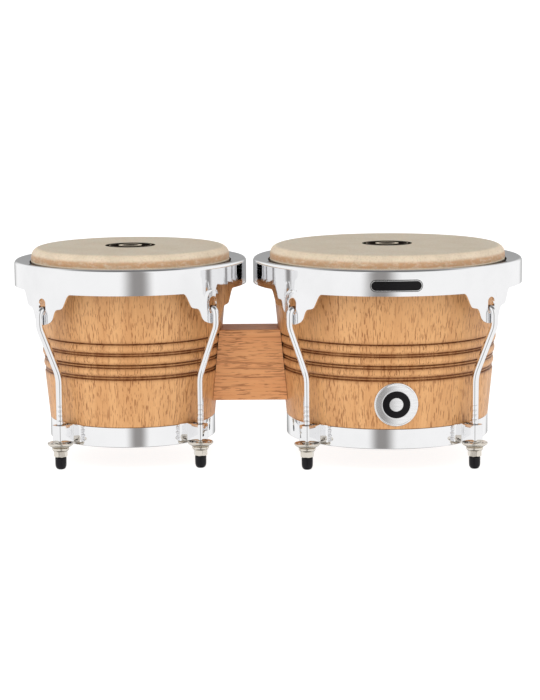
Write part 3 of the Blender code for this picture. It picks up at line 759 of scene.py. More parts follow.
def make_head(drum):
    """The skin: flat top, rolled edge, uneven collar and the tuck round the flesh hoop."""
    settings = bpy.context.scene.bongo_heads
    r, top = drum.radius, drum.head_top
    outside = [(0.0, 0.0), (-60.0, 0.0), (-30.0, 0.0), (-14.0, 0.0), (-11.0, -0.08), (-8.6, -0.32), (-6.6, -0.8),
               (-4.9, -1.55), (-3.5, -2.55), (-2.4, -3.8), (-1.6, -5.3), (-1.15, -7.2), (-1.0, -9.5), (-1.0, -12.0),
               (-0.9, -14.0), (-0.6, -15.3), (0.4, -15.9), (1.7, -16.05), (4.0, -15.3), (6.0, -14.6), (6.6, -14.7),
               (6.8, -15.3), (6.8, -22.6), (6.2, -23.5), (4.2, -23.7), (2.4, -23.7)]
    profile = [(r + x * MM if number else 0.0, top + z * MM) for number, (x, z) in enumerate(outside)]

    def wave(angle, number):
        uneven = (math.sin(11 * angle + 0.7 * number) + 0.7 * math.sin(23 * angle + 1.9)
                  + 0.5 * math.sin(41 * angle + 0.4 * number))
        return settings.ripple * 0.5 * uneven if 6 <= number <= 14 else 0.0

    head = lathe(drum.node("drum_head"), profile, (drum.centre, 0.0), closed=False, wave=wave)
    bm = bmesh.new()
    bm.from_mesh(head.data)
    bmesh.ops.recalc_face_normals(bm, faces=bm.faces)
    up = next(face for face in bm.faces if abs(face.normal.z) > 0.99)
    if up.normal.z < 0:
        bmesh.ops.reverse_faces(bm, faces=bm.faces)
    bm.to_mesh(head.data)
    bm.free()
    sheet = head.modifiers.new("skin", "SOLIDIFY")
    sheet.thickness = settings.skin
    sheet.offset = -1.0
    baked(head)
    add_piece(head, "head_skin", None, [drum.node("head")], sharp=60.0)
    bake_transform(head)
    return head


def mark_radial(item, centre, reach):
    """Store each vertex's distance from a centre as a share of the piece's radius."""
    shares = [(v.co - centre).length / reach for v in item.data.vertices]
    layer = item.data.attributes.new("radial", "FLOAT", "POINT")
    layer.data.foreach_set("value", shares)


def make_print(drum):
    """The plain round print in the middle of a head."""
    reach = bpy.context.scene.bongo_heads.print_radius
    low, high = drum.head_top + 0.01 * MM, drum.head_top + 0.09 * MM
    profile = [(0.0, high)] + [(reach * share_out, high) for share_out in (0.2, 0.34, 0.37, 0.43, 0.46, 0.6, 0.8, 0.815, 0.845, 0.86, 0.98)]
    profile += [(reach, (low + high) / 2), (reach * 0.98, low), (0.0, low)]
    disc = tidy_mesh(lathe(drum.node("head_print"), profile, (drum.centre, 0.0), 96, closed=False))
    mark_radial(disc, Vector((drum.centre, 0.0, high)), reach)
    return add_piece(disc, "head_print", "shells")


EAR_OUTLINE = ((0.0, 124.0), (4.4, 124.9), (8.2, 126.6), (11.1, 129.7), (13.0, 134.6), (15.0, 137.3),
               (20.0, 138.6), (21.9, 140.0), (26.2, 148.5), (28.0, 150.5), (29.5, 150.9))
SLOT_HALF = 4.0 * MM
SLOT_FOOT = 133.0 * MM
SLOT_ARCH = 142.3 * MM


def slot_heights(across, low, top):
    """The heights of the slot's foot and arch in one column of the rim, or where the rows run beside it."""
    beside = smooth(SLOT_HALF, 9.0 * MM, abs(across))
    arch = SLOT_ARCH + math.sqrt(max(SLOT_HALF ** 2 - across ** 2, 0.0))
    foot = SLOT_FOOT + 0.8 * MM * smooth(0.7, 1.0, abs(across) / SLOT_HALF) * (abs(across) <= SLOT_HALF + 1e-9)
    return (foot * (1 - beside) + (low + 0.25 * (top - low)) * beside,
            arch * (1 - beside) + (low + 0.5 * (top - low)) * beside)


def rim_quarter(drum):
    """A quarter of the rim's outer skin with one ear in its middle, pointing along +X at the origin."""
    settings = bpy.context.scene.bongo_rims
    wall = drum.rim_outside - settings.sheet / 2
    quarter = wall * math.pi / 4
    across = [SLOT_HALF * math.sin(math.radians(angle)) for angle in range(0, 91, 15)]
    while across[-1] < 31.0 * MM:
        across.append(across[-1] + 0.6 * MM)
    plain = 18
    last = across[-1]
    across += [last + (quarter - last) * (number + 1) / plain for number in range(plain)]
    columns = [-x for x in reversed(across[1:])] + across
    roll, lip, dish = 3.2 * MM, drum.radius + 0.6 * MM, 2.2 * MM
    wall_top = drum.rim_top - roll
    slope = math.degrees(math.atan(dish / (drum.rim_outside - roll - lip)))
    outline = [(x * MM, z * MM) for x, z in EAR_OUTLINE]
    spans = (5, 9, 22)
    verts, faces, rows = [], [], 0
    for x in columns:
        low = curve_through(outline, abs(x))
        foot, arch = slot_heights(x, low, wall_top)
        levels = [low, foot, arch, wall_top]
        line = []
        for number, count in enumerate(spans):
            line += [levels[number] + (levels[number + 1] - levels[number]) * step / count for step in range(count)]
        points = []
        for z in line + [wall_top]:
            off = math.hypot(x, max(z - 144.0 * MM, 0.0))
            boss = settings.boss * (1 - smooth(settings.boss_half - 0.7 * MM, settings.boss_half + 0.7 * MM, off))
            points.append((drum.rim_outside + boss, z))
        points += arc((drum.rim_outside - roll, wall_top), roll, 0.0, 90.0 + slope, 10)[1:]
        inner, outer = Vector((lip, drum.rim_top - dish)), Vector(points[-1])
        points += [outer.lerp(inner, step / 4) for step in range(1, 5)]
        rows = len(points)
        angle = x / wall
        verts += [(radius * math.cos(angle), radius * math.sin(angle), z) for radius, z in points]
    for column in range(len(columns) - 1):
        middle = (columns[column] + columns[column + 1]) / 2
        for row in range(rows - 1):
            if abs(middle) < SLOT_HALF and spans[0] <= row < spans[0] + spans[1]:
                continue
            start = column * rows + row
            faces.append((start, start + rows, start + rows + 1, start + 1))
    return new_object(drum.node("pressed_rim"), verts, faces)


def make_rim(drum):
    """The pressed tension rim: four quarters, thickened and softened along every edge."""
    settings = bpy.context.scene.bongo_rims
    rim = shaped(rim_quarter(drum), shape_tree(four_round_tree), centre=(drum.centre, 0.0, 0.0),
                 first_turn=drum.first_turn, count=4, weld=0.01 * MM, material=material("chrome"))
    sheet = rim.modifiers.new("sheet", "SOLIDIFY")
    sheet.thickness = settings.sheet
    sheet.offset = -1.0
    sheet.use_even_offset = True
    soft = rim.modifiers.new("edges", "BEVEL")
    soft.width = settings.edge
    soft.segments = 3
    soft.limit_method = "ANGLE"
    soft.angle_limit = math.radians(55.0)
    baked(rim)
    return add_piece(rim, "chrome", drum.rim_set, [drum.node("tension_rim")], sharp=50.0)


def make_ring(drum):
    """The bottom ring round the shell's foot."""
    outer, low, high = drum.ring_radius, drum.ring_bottom, drum.ring_top
    inner, soft = outer - 2.0 * MM, 0.8 * MM
    profile = ([(inner, low + 0.3 * MM), (inner + 0.3 * MM, low)]
               + arc((outer - soft, low + soft), soft, -90.0, 0.0, 5)
               + arc((outer - soft, high - soft), soft, 0.0, 90.0, 5)
               + [(inner + 0.3 * MM, high), (inner, high - 0.3 * MM)])
    ring = tidy_mesh(lathe(drum.node("foot_ring"), profile, (drum.centre, 0.0)))
    return add_piece(ring, "chrome", "shells", [drum.node("bottom_ring")], sharp=50.0)


def bracket_line(drum, strap):
    """The strap's middle line in plan: foot, side, outer wall, side and foot, for a lug on the +X axis."""
    rod = bpy.context.scene.bongo_hooks.rod_radius
    half = rod + 0.3 * MM + strap / 2
    outer = drum.rod_reach + half
    ring = drum.ring_radius + 0.3 * MM + strap / 2
    foot = [(ring * math.cos(across / ring), ring * math.sin(across / ring))
            for across in (half + 9.0 * MM, half + 6.0 * MM, half)]
    side = foot + [(outer, half)]
    radii = [0.0, 1.9 * MM, 1.6 * MM]
    return rounded(side + [(x, -y) for x, y in reversed(side)], radii + radii[::-1])


def weld_beads(line, low, high, strap):
    """Uneven beads of weld down both ends of a strap."""
    item = new_object("weld_beads")
    bm = bmesh.new()
    count = 9
    for side in (1, -1):
        end = line[0] if side > 0 else line[-1]
        for number in range(count):
            sway = math.sin(2.3 * number + side)
            spot = Vector((end.x - 0.5 * MM, end.y + side * (0.2 + 0.35 * sway) * MM,
                           low + 1.3 * MM + (high - low - 2.6 * MM) * number / (count - 1)))
            size = Matrix.Diagonal((0.62 * strap, (1.15 + 0.2 * sway) * MM, 1.0 * MM, 1.0))
            bmesh.ops.create_icosphere(bm, subdivisions=2, radius=1.0, matrix=Matrix.Translation(spot) @ size)
    bm.to_mesh(item.data)
    bm.free()
    return item


def make_brackets(drum):
    """The four bent straps that stand off the bottom ring."""
    strap = bpy.context.scene.bongo_hooks.strap
    low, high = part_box(drum.node("bracket_front_left"))
    line = bracket_line(drum, strap)
    verts, faces = [], []
    for number, point in enumerate(line):
        before, after = line[max(number - 1, 0)], line[min(number + 1, len(line) - 1)]
        along = (after - before).normalized()
        normal = Vector((along.y, -along.x)) * strap / 2
        for side, z in ((1, low.z), (1, high.z), (-1, high.z), (-1, low.z)):
            verts.append((point.x + side * normal.x, point.y + side * normal.y, z))
    count = len(line)
    for number in range(count - 1):
        for corner in range(4):
            after = (corner + 1) % 4
            faces.append((number * 4 + corner, number * 4 + after, number * 4 + 4 + after, number * 4 + 4 + corner))
    faces += [(3, 2, 1, 0), tuple(range(count * 4 - 4, count * 4))]
    strap_piece = tidy_mesh(new_object(drum.node("brackets"), verts, faces))
    welds = weld_beads(line, low.z, high.z, strap)
    soft = strap_piece.modifiers.new("edges", "BEVEL")
    soft.width = 0.4 * MM
    soft.segments = 2
    soft.limit_method = "ANGLE"
    soft.angle_limit = math.radians(50.0)
    baked(strap_piece)
    brackets = shaped(join(strap_piece, welds), shape_tree(four_round_tree), centre=(drum.centre, 0.0, 0.0),
                      first_turn=drum.first_turn, count=4, weld=0.0, material=material("chrome"))
    return add_piece(brackets, "chrome", "shells", drum.each_lug("bracket"), sharp=40.0)


def hook_line(drum):
    """(radius, height) points up the rod, out over its two bends and round the hook."""
    low = drum.rod_reach
    crest, bend = drum.rim_outside - 1.2 * MM, 5.3 * MM
    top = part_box(drum.node("hook_front_left"))[1].z - bpy.context.scene.bongo_hooks.rod_radius
    outer = crest + bend
    stem = rounded([(low, 3.6 * MM), (low, 79.0 * MM), (outer, 122.8 * MM), (outer, top - bend)],
                   [30.0 * MM, 15.0 * MM], 8)
    turn = [Vector(point) for point in arc((crest, top - bend), bend, 0.0, 180.0, 16)]
    return stem[:-1] + turn + [Vector((crest - bend, top - bend - 2.0 * MM)), Vector((crest - bend, top - 10.0 * MM))]


def rod_along(name, line, radius, sides=20):
    """A round rod along an upright line in the XZ plane, with rounded ends."""
    verts, faces = [], []
    ends = [(line[0], 1), (line[-1], -1)]
    stations = []
    for number, point in enumerate(line):
        along = (line[min(number + 1, len(line) - 1)] - line[max(number - 1, 0)]).normalized()
        if number in (0, len(line) - 1):
            outward = -1 if number == 0 else 1
            cap = [(point + along * outward * radius * 0.45 * math.sin(math.radians(a)),
                    radius * math.cos(math.radians(a))) for a in (0, 30, 55, 75)]
            stations += [(spot, along, size) for spot, size in (reversed(cap) if number == 0 else cap)]
        else:
            stations.append((point, along, radius))
    for spot, along, size in stations:
        across = Vector((along.y, -along.x))
        for side in range(sides):
            angle = TURN * side / sides
            flat = across * math.cos(angle) * size
            verts.append((spot.x + flat.x, math.sin(angle) * size, spot.y + flat.y))
    for station in range(len(stations) - 1):
        for side in range(sides):
            after = (side + 1) % sides
            faces.append((station * sides + side, station * sides + after,
                          (station + 1) * sides + after, (station + 1) * sides + side))
    faces += [tuple(range(sides)), tuple(range(len(stations) * sides - 1, (len(stations) - 1) * sides - 1, -1))]
    return tidy_mesh(new_object(name, verts, faces))


def make_hooks(drum):
    """The four tuning hooks with their threads."""
    settings = bpy.context.scene.bongo_hooks
    core = settings.rod_radius
    line = hook_line(drum)
    root = core - 0.42 * MM
    hook = rod_along(drum.node("tuning_hooks"), line, core)
    for vert in hook.data.vertices:
        if vert.co.z < settings.thread_top and vert.co.z < 60.0 * MM:
            vert.co.x = drum.rod_reach + (vert.co.x - drum.rod_reach) * root / core
            vert.co.y *= root / core
    thread = shaped(new_object("thread"), shape_tree(thread_tree), start=(drum.rod_reach, 0.0, 9.0 * MM),
                    radius=root + 0.02 * MM, pitch=settings.pitch, rise=settings.thread_top - 9.0 * MM,
                    ridge=0.42 * MM, material=material("chrome"))
    hooks = shaped(join(hook, thread), shape_tree(four_round_tree), centre=(drum.centre, 0.0, 0.0),
                   first_turn=drum.first_turn, count=4, weld=0.0, material=material("chrome"))
    return add_piece(hooks, "chrome", drum.rim_set, drum.each_lug("hook"), sharp=50.0)


def turned_at_lugs(drum, name, profile, steps, finish, body, piece):
    """One turned shape at every rod of a drum."""
    one = tidy_mesh(lathe(drum.node(name), profile, (drum.rod_reach, 0.0), steps, closed=profile[0][0] > 0))
    four = shaped(one, shape_tree(four_round_tree), centre=(drum.centre, 0.0, 0.0),
                  first_turn=drum.first_turn, count=4, weld=0.0, material=material(finish))
    return add_piece(four, finish, body, drum.each_lug(piece), sharp=40.0)


def make_washers(drum):
    low, high = (corner.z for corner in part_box(drum.node("washer_front_left")))
    bore = bpy.context.scene.bongo_hooks.rod_radius + 0.45 * MM
    outline = ((5.9, 0.0), (6.6, -0.6), (8.4, -0.65), (9.4, -0.25), (10.1, 0.0), (10.55, -0.15), (10.8, -0.6),
               (10.75, -1.2), (10.3, -1.9), (9.3, -2.6), (8.2, -3.2), (7.3, -3.75), (6.9, -3.9))
    profile = [(bore, high)] + [(x * MM, high + z * MM) for x, z in outline] + [(bore, low)]
    return turned_at_lugs(drum, "cup_washers", profile, 56, "nickel", "shells", "washer")


def make_tips(drum):
    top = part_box(drum.node("tip_front_left"))[1].z
    bore = bpy.context.scene.bongo_hooks.rod_radius + 0.3 * MM
    lip = top / MM
    outline = ((0.0, 3.2), (bore / MM, 3.2), (bore / MM, lip), (4.35, lip), (4.7, lip - 0.25), (4.8, lip - 0.8),
               (4.75, 5.0), (4.65, 3.3), (4.4, 2.2), (3.95, 1.2), (3.3, 0.5), (2.5, 0.08), (1.8, 0.0), (0.0, 0.0))
    return turned_at_lugs(drum, "rod_tips", [(x * MM, z * MM) for x, z in outline], 40, "rubber",
                          drum.rim_set, "tip")


def make_nut(drum, lug):
    """A hexagon nut with a round flange; its flats are trimmed by a cone below."""
    settings = bpy.context.scene.bongo_hooks
    low, high = (corner.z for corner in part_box(drum.node(f"nut_{lug}")))
    bore, flat = settings.rod_radius + 0.2 * MM, settings.nut_flats / 2
    rows = [(bore, high, False), (6.5 * MM, high, False), (7.0 * MM, high - 0.3 * MM, False),
            (7.1 * MM, high - 0.8 * MM, False), (7.1 * MM, high - 1.7 * MM, False),
            (6.7 * MM, high - 2.2 * MM, False), (6.1 * MM, high - 2.8 * MM, False),
            (5.6 * MM, high - 3.3 * MM, True)]
    rows += [(9.0 * MM, high - 3.7 * MM, True), (9.0 * MM, low + 1.0 * MM, True)]
    rows += [(flat - 0.35 * MM + rise * 1.6, low + rise, True) for rise in (0.8 * MM, 0.6 * MM, 0.4 * MM, 0.2 * MM, 0.0)]
    rows += [(bore + 0.5 * MM, low, False), (bore, low + 0.5 * MM, False)]
    place = drum.lug_place(lug)
    turn = drum.first_turn + LUGS.index(lug) * TURN / 4
    steps, verts, faces = 72, [], []
    for limit, z, hexed in rows:
        for step in range(steps):
            angle = TURN * step / steps
            beside = (angle + TURN / 12) % (TURN / 6) - TURN / 12
            reach = min(limit, flat / math.cos(beside)) if hexed else limit
            verts.append((place.x + reach * math.cos(angle + turn), place.y + reach * math.sin(angle + turn), z))
    for row in range(len(rows)):
        for step in range(steps):
            after, above = (step + 1) % steps, (row + 1) % len(rows)
            faces.append((row * steps + step, row * steps + after, above * steps + after, above * steps + step))
    nut = tidy_mesh(new_object(drum.node(f"flange_nut_{lug}"), verts, faces))
    name = drum.node(f"nut_{lug}")
    return add_piece(nut, "nickel", name, [name], sharp=25.0)


def make_block():
    """The wooden block, its ends hollowed to fit the shells."""
    low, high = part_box("centre_block")
    edge = bpy.context.scene.bongo_block.edge
    item = new_object("joining_block")
    bm = bmesh.new()
    size = Matrix.Diagonal((1.0, high.y - low.y, high.z - low.z, 1.0))
    bmesh.ops.create_cube(bm, size=1.0, matrix=Matrix.Translation((0.5, 0.0, (low.z + high.z) / 2)) @ size)
    long_edges = [e for e in bm.edges if abs(e.verts[0].co.x - e.verts[1].co.x) > 0.5]
    bmesh.ops.bevel(bm, geom=long_edges, offset=edge, segments=4, profile=0.5, affect="EDGES")
    cuts = [((0, y * MM, 0), (0, 1, 0)) for y in range(-18, 19, 3)]
    cuts += [((0, 0, low.z + (high.z - low.z) * step / 12), (0, 0, 1)) for step in range(1, 12)]
    cuts += [((step / 6, 0, 0), (1, 0, 0)) for step in range(1, 6)]
    for place, normal in cuts:
        bmesh.ops.bisect_plane(bm, geom=bm.verts[:] + bm.edges[:] + bm.faces[:], dist=1e-7,
                               plane_co=place, plane_no=normal)
    small, large = DRUMS
    for vert in bm.verts:
        y, z = vert.co.y, vert.co.z
        left = small.centre + math.sqrt((small.shell_outside(z) + 0.3 * MM) ** 2 - y * y)
        right = large.centre - math.sqrt((large.shell_outside(z) + 0.3 * MM) ** 2 - y * y)
        vert.co.x = left + (right - left) * vert.co.x
    bm.to_mesh(item.data)
    bm.free()
    tidy_mesh(item)
    return add_piece(item, "block_wood", "shells", ["centre_block"], sharp=40.0)


def make_bolt(drum, name):
    """A round-headed bolt from inside the shell into the block."""
    low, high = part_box(drum.node(name))
    middle = (low + high) / 2
    start, end = (low.x, high.x) if drum.inward > 0 else (high.x, low.x)
    shank = 3.0 * MM
    profile = ([(0.0, 2.4), (1.5, 2.4), (1.7, 0.3), (2.0, 0.0), (3.4, 0.15), (4.7, 0.8), (5.4, 1.8), (5.6, 2.9),
                (5.6, 4.0)])
    profile = [(x * MM, z * MM) for x, z in profile] + [(shank, 4.0 * MM), (shank, abs(end - start) - 0.6 * MM),
                                                       (shank - 0.6 * MM, abs(end - start)), (0.0, abs(end - start))]
    bolt = tidy_mesh(lathe(drum.node(f"coach_{name}"), profile, (0.0, 0.0), 36, closed=False))
    turn = Matrix.Rotation(math.radians(90.0) * drum.inward, 4, "Y")
    bolt.data.transform(Matrix.Translation((start, middle.y, middle.z)) @ turn)
    return add_piece(bolt, "zinc", "shells", [drum.node(name)], sharp=40.0)


def make_plate(drum):
    """The curved backing plate behind the bolts' heads, with rounded corners."""
    low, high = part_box(drum.node("backing_plate"))
    verts, faces = [], []
    rows, columns = 24, 16
    spread = math.radians(13.0)
    facing = 0.0 if drum.inward > 0 else math.pi
    corner = 5.0 * MM
    for row in range(rows + 1):
        z = low.z + (high.z - low.z) * row / rows
        radius = drum.shell_outside(z) - 9.5 * MM - 0.6 * MM
        inset = corner - min(z - low.z, high.z - z)
        drawn_in = corner - math.sqrt(max(corner ** 2 - max(inset, 0.0) ** 2, 0.0))
        half = spread - drawn_in / radius
        for column in range(columns + 1):
            angle = facing + half * (2 * column / columns - 1)
            verts.append((drum.centre + radius * math.cos(angle), radius * math.sin(angle), z))
    for row in range(rows):
        for column in range(columns):
            start = row * (columns + 1) + column
            faces.append((start, start + 1, start + columns + 2, start + columns + 1))
    plate = new_object(drum.node("bolt_plate"), verts, faces)
    sheet = plate.modifiers.new("sheet", "SOLIDIFY")
    sheet.thickness = 2.4 * MM
    sheet.offset = -1.0
    soft = plate.modifiers.new("edges", "BEVEL")
    soft.width = 0.4 * MM
    soft.segments = 2
    soft.limit_method = "ANGLE"
    soft.angle_limit = math.radians(50.0)
    baked(plate)
    return add_piece(plate, "zinc", "shells", [drum.node("backing_plate")], sharp=40.0)


def make_hoop(drum):
    """The flesh hoop that the skin is wrapped round."""
    low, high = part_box(drum.node("flesh_hoop"))
    inner, outer, soft = drum.radius + 0.6 * MM, (high.x - low.x) / 2, 0.7 * MM
    corners = ((inner, low.z, 180.0), (outer, low.z, 270.0), (outer, high.z, 0.0), (inner, high.z, 90.0))
    profile = []
    for x, z, start in corners:
        centre = (x + (soft if x == inner else -soft), z + (soft if z == low.z else -soft))
        profile += arc(centre, soft, start, start + 90.0, 3)
    hoop = tidy_mesh(lathe(drum.node("steel_hoop"), profile, (drum.centre, 0.0), 128))
    return add_piece(hoop, "zinc", drum.rim_set, [drum.node("flesh_hoop")], sharp=50.0)


def make_badge():
    """A bare brushed disc with a raised border, bent to the shell."""
    settings = bpy.context.scene.bongo_badge
    low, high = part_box("shell_badge")
    reach, middle = (high.z - low.z) / 2, (low + high) / 2
    facing = math.atan2(middle.y, middle.x - LARGE.centre)
    profile = [(0.0, 0.62), (reach * 0.3, 0.62), (reach * 0.3, 0.55), (reach * 0.62, 0.55), (reach * 0.63, 0.62),
               (reach - settings.border - 0.3 * MM, 0.62), (reach - settings.border, 0.8),
               (reach - 0.35 * MM, 0.8), (reach - 0.08 * MM, 0.65), (reach, 0.35), (reach, 0.0), (0.0, 0.0)]
    rings = []
    for number, (out, thickness) in enumerate(profile):
        rings.append((out, thickness * MM))
        if number + 1 < len(profile) and profile[number + 1][0] - out > 3 * MM:
            after = profile[number + 1]
            rings += [(out + (after[0] - out) * step / 5, thickness * MM) for step in range(1, 5)]
    item = lathe("bare_badge", rings, (0.0, 0.0), 96, closed=False)
    tidy_mesh(item, closed=False)
    shares = []
    for vert in item.data.vertices:
        x, y, out = vert.co
        shares.append(math.hypot(x, y) / reach)
        z = middle.z + y
        radius = LARGE.shell_outside(z) + 0.3 * MM + out
        angle = facing + x / radius
        vert.co = (LARGE.centre + radius * math.cos(angle), radius * math.sin(angle), z)
    layer = item.data.attributes.new("radial", "FLOAT", "POINT")
    layer.data.foreach_set("value", shares)
    tidy_mesh(item)
    return add_piece(item, "badge_metal", "shells", ["shell_badge"], sharp=30.0)


def make_rim_plate():
    """A bare enamelled plate with rounded ends and a bright line inside its edge."""
    low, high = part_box("rim_plate")
    middle = (low + high) / 2
    facing = math.atan2(middle.y, middle.x - LARGE.centre)
    radius, half = LARGE.rim_outside + 0.3 * MM, (high.z - low.z) / 2
    straight = 21.5 * MM - half
    around = [(straight * (1 - 2 * step / 16), 90.0) for step in range(17)]
    around += [(-straight, 90.0 + 180.0 * step / 12) for step in range(1, 12)]
    around += [(straight * (2 * step / 16 - 1), 270.0) for step in range(17)]
    around += [(straight, 270.0 + 180.0 * step / 12) for step in range(1, 12)]
    levels = [(half * part, out * MM) for part, out in (
        (0.6, 0.5), (0.78, 0.5), (0.81, 0.5), (0.87, 0.5), (0.9, 0.5), (0.96, 0.47), (1.0, 0.36), (1.0, 0.0), (0.6, 0.0))]
    verts, faces, shares = [], [], []
    for size, out in levels:
        for x, angle in around:
            along = x + size * math.cos(math.radians(angle))
            rise = size * math.sin(math.radians(angle))
            reach = radius + out
            verts.append((LARGE.centre + reach * math.cos(facing + along / radius),
                          reach * math.sin(facing + along / radius), middle.z + rise))
            shares.append(size / half if out > 0.1 * MM else 0.0)
    count = len(around)
    for level in range(len(levels) - 1):
        for step in range(count):
            after = (step + 1) % count
            faces.append((level * count + step, level * count + after, (level + 1) * count + after, (level + 1) * count + step))
    for base in (0, (len(levels) - 1) * count):
        for step in range(16):
            faces.append((base + step, base + step + 1, base + 43 - step, base + 44 - step))
        faces.append(tuple(base + step for step in range(16, 29)))
        faces.append(tuple(base + step % count for step in range(44, 57)))
    item = new_object("bare_rim_plate", verts, faces)
    layer = item.data.attributes.new("radial", "FLOAT", "POINT")
    layer.data.foreach_set("value", shares)
    tidy_mesh(item)
    return add_piece(item, "plate_enamel", LARGE.rim_set, ["rim_plate"], sharp=30.0)


# Stage --------------------------------------------------------------------

def make_floor():
    """A floor that curves up into a backdrop."""
    wide, turn = 6.0, 0.8
    line = [(-4.0, 0.0)] + [(2.2 + turn * math.sin(math.radians(a)), turn - turn * math.cos(math.radians(a)))
                            for a in range(0, 91, 6)] + [(2.2 + turn, 4.0)]
    verts = [(side * wide, y, z - 0.0002) for y, z in line for side in (-1, 1)]
    faces = [(n * 2, n * 2 + 1, n * 2 + 3, n * 2 + 2) for n in range(len(line) - 1)]
    floor = new_object("floor", verts, faces)
    floor.data.materials.append(material("floor_paint"))
    floor.data.shade_smooth()
    floor.visible_glossy = False


def make_surround(settings):
    """A bright room, dimmer straight behind, overhead and below."""
    world = bpy.data.worlds.new("studio")
    bpy.context.scene.world = world
    world.use_nodes = True
    nodes, links = world.node_tree.nodes, world.node_tree.links
    back = nodes["Background"]
    split = nodes.new("ShaderNodeSeparateXYZ")
    links.new(nodes.new("ShaderNodeTexCoord").outputs["Generated"], split.inputs[0])

    def step(kind, *values, **settings_in):
        node = nodes.new(kind)
        for key, value in settings_in.items():
            setattr(node, key, value)
        for socket, value in zip(node.inputs, values):
            if isinstance(value, bpy.types.NodeSocket):
                links.new(value, socket)
            else:
                socket.default_value = value
        return node.outputs[0]

    aside = step("ShaderNodeMath", split.outputs[0], operation="ABSOLUTE")
    rear = step("ShaderNodeMath", split.outputs[1], 0.0, operation="GREATER_THAN")
    back_wall = step("ShaderNodeMapRange", aside, 0.2, 0.55, 0.62, 0.0, interpolation_type="SMOOTHSTEP")
    behind = step("ShaderNodeMath", back_wall, rear, operation="MULTIPLY")
    overhead = step("ShaderNodeMapRange", split.outputs[2], 0.72, 0.93, 0.0, 0.82, interpolation_type="SMOOTHSTEP")
    below = step("ShaderNodeMapRange", split.outputs[2], -0.78, -0.93, 0.0, 0.8, interpolation_type="SMOOTHSTEP")
    level = step("ShaderNodeMath", behind, step("ShaderNodeMath", overhead, below, operation="ADD"), operation="MAXIMUM")
    bright = step("ShaderNodeMath", 1.0, level, operation="SUBTRACT")
    power = step("ShaderNodeMath", bright, settings.surround, operation="MULTIPLY")
    links.new(power, back.inputs["Strength"])
    back.inputs["Color"].default_value = (1.0, 1.0, 1.0, 1.0)


def make_gap():
    """The dim gap between two front softboxes, seen only in reflections."""
    half, away = 0.24, -0.69
    gap = new_object("softbox_gap", [(-half, away, -0.5), (half, away, -0.5), (half, away, 1.4), (-half, away, 1.4)],
                     [(0, 1, 2, 3)])
    finish = Finish("softbox_gap")
    nodes, links = finish.nodes, finish.material.node_tree.links
    dim = finish.node("ShaderNodeEmission", Color=(1.0, 0.96, 0.94), Strength=0.32)
    clear = finish.node("ShaderNodeBsdfTransparent")
    aside = finish.sum("ABSOLUTE", finish.axis("X"))
    shade = finish.node("ShaderNodeMixShader", i0=finish.between(aside, 0.03, 0.22), i1=dim, i2=clear)
    links.new(shade, nodes["Material Output"].inputs["Surface"])
    nodes.remove(finish.shader)
    gap.data.materials.append(finish.material)
    for kind in ("camera", "diffuse", "transmission", "volume_scatter", "shadow"):
        setattr(gap, f"visible_{kind}", False)


def add_light(name, power, size, place, target):
    data = bpy.data.lights.new(name, "AREA")
    data.shape = "RECTANGLE"
    data.size, data.size_y = size
    data.energy = power
    lamp = bpy.data.objects.new(name, data)
    bpy.context.scene.collection.objects.link(lamp)
    lamp.location = place
    lamp.rotation_euler = (Vector(target) - Vector(place)).to_track_quat("-Z", "Y").to_euler()
    lamp.visible_glossy = False


def add_camera(settings):
    data = bpy.data.cameras.new("camera")
    data.sensor_fit = "HORIZONTAL"
    data.sensor_width = 36.0
    data.lens = settings.lens
    data.clip_end = 20.0
    camera = bpy.data.objects.new("camera", data)
    bpy.context.scene.collection.objects.link(camera)
    aim = Matrix.Rotation(math.radians(-0.161), 4, "Z") @ Matrix.Rotation(math.radians(90.0 - 8.486), 4, "X")
    camera.matrix_world = (Matrix.Translation((-0.0041, -1.8531, 0.3675)) @ aim
                           @ Matrix.Rotation(math.radians(-0.426), 4, "Z"))
    bpy.context.scene.camera = camera


# Operators ----------------------------------------------------------------

class MakeBongoStage(bpy.types.Operator):
    """Make the floor, lights and camera"""
    bl_idname = "bongo.make_stage"
    bl_label = "Make stage"

    def execute(self, context):
        settings = context.scene.bongo_stage
        make_floor()
        make_surround(settings)
        make_gap()
        add_light("key", settings.key, (1.6, 1.0), (-0.5, -1.3, 1.9), (0.0, 0.0, 0.1))
        add_camera(settings)
        return {"FINISHED"}


class MakeBongoShells(bpy.types.Operator):
    """Make the two turned wooden shells"""
    bl_idname = "bongo.make_shells"
    bl_label = "Make shells"

    def execute(self, context):
        for drum in DRUMS:
            make_shell(drum)
        return {"FINISHED"}


class MakeBongoHeads(bpy.types.Operator):
    """Make the skins and their prints"""
    bl_idname = "bongo.make_heads"
    bl_label = "Make heads"

    def execute(self, context):
        for drum in DRUMS:
            make_head(drum)
            make_print(drum)
        return {"FINISHED"}


class MakeBongoRims(bpy.types.Operator):
    """Make the pressed tension rims and the hoops inside them"""
    bl_idname = "bongo.make_rims"
    bl_label = "Make rims"

    def execute(self, context):
        for drum in DRUMS:
            make_rim(drum)
            make_hoop(drum)
        return {"FINISHED"}


class MakeBongoRings(bpy.types.Operator):
    """Make the bottom rings and the brackets on them"""
    bl_idname = "bongo.make_rings"
    bl_label = "Make bottom rings"

    def execute(self, context):
        for drum in DRUMS:
            make_ring(drum)
            make_brackets(drum)
        return {"FINISHED"}


class MakeBongoHooks(bpy.types.Operator):
    """Make the tuning hooks and their rubber tips"""
    bl_idname = "bongo.make_hooks"
    bl_label = "Make tuning hooks"

    def execute(self, context):
        for drum in DRUMS:
            make_hooks(drum)
            make_tips(drum)
        return {"FINISHED"}


class MakeBongoNuts(bpy.types.Operator):
    """Make the cup washers and the nuts under them"""
    bl_idname = "bongo.make_nuts"
    bl_label = "Make washers and nuts"

    def execute(self, context):
        for drum in DRUMS:
            make_washers(drum)
            for lug in LUGS:
                make_nut(drum, lug)
        return {"FINISHED"}


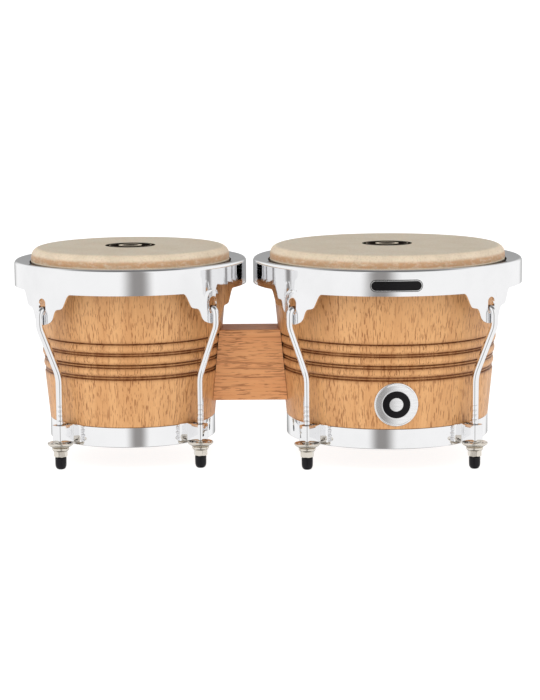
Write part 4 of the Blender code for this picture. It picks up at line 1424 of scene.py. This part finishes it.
class MakeBongoBlock(bpy.types.Operator):
    """Make the joining block with its bolts and backing plates"""
    bl_idname = "bongo.make_block"
    bl_label = "Make joining block"

    def execute(self, context):
        make_block()
        for drum in DRUMS:
            make_plate(drum)
            for name in ("bolt_lower", "bolt_upper"):
                make_bolt(drum, name)
        return {"FINISHED"}


class MakeBongoTrim(bpy.types.Operator):
    """Make the bare badge and the bare rim plate"""
    bl_idname = "bongo.make_trim"
    bl_label = "Make badge and rim plate"

    def execute(self, context):
        make_badge()
        make_rim_plate()
        return {"FINISHED"}


OPERATORS = (MakeBongoStage, MakeBongoShells, MakeBongoHeads, MakeBongoRims, MakeBongoRings, MakeBongoHooks,
             MakeBongoNuts, MakeBongoBlock, MakeBongoTrim)
SETTINGS = {
    "bongo_shells": BongoShellSettings, "bongo_block": BongoBlockSettings, "bongo_heads": BongoHeadSettings,
    "bongo_rims": BongoRimSettings, "bongo_hooks": BongoHookSettings, "bongo_badge": BongoBadgeSettings,
    "bongo_stage": BongoStageSettings,
}


class BongoPanel(bpy.types.Panel):
    """Lists the operators and the settings of the drums"""
    bl_idname = "VIEW3D_PT_bongo_drums"
    bl_label = "Bongo drums"
    bl_space_type = "VIEW_3D"
    bl_region_type = "UI"
    bl_category = "Bongos"

    def draw(self, context):
        for kind in OPERATORS:
            self.layout.operator(kind.bl_idname)
        for name, kind in SETTINGS.items():
            box = self.layout.box()
            box.label(text=kind.__doc__)
            for value in kind.__annotations__:
                box.prop(getattr(context.scene, name), value)


def register():
    for kind in (*SETTINGS.values(), *OPERATORS, BongoPanel):
        bpy.utils.register_class(kind)
    for name, kind in SETTINGS.items():
        setattr(bpy.types.Scene, name, bpy.props.PointerProperty(type=kind))


def unregister():
    for name in SETTINGS:
        delattr(bpy.types.Scene, name)
    for kind in reversed((*SETTINGS.values(), *OPERATORS, BongoPanel)):
        bpy.utils.unregister_class(kind)


def main():
    register()
    for kind in OPERATORS:
        group, name = kind.bl_idname.split(".")
        getattr(getattr(bpy.ops, group), name)()
    bpy.context.scene.view_settings.view_transform = "Standard"


if __name__ == "__main__":
    main()
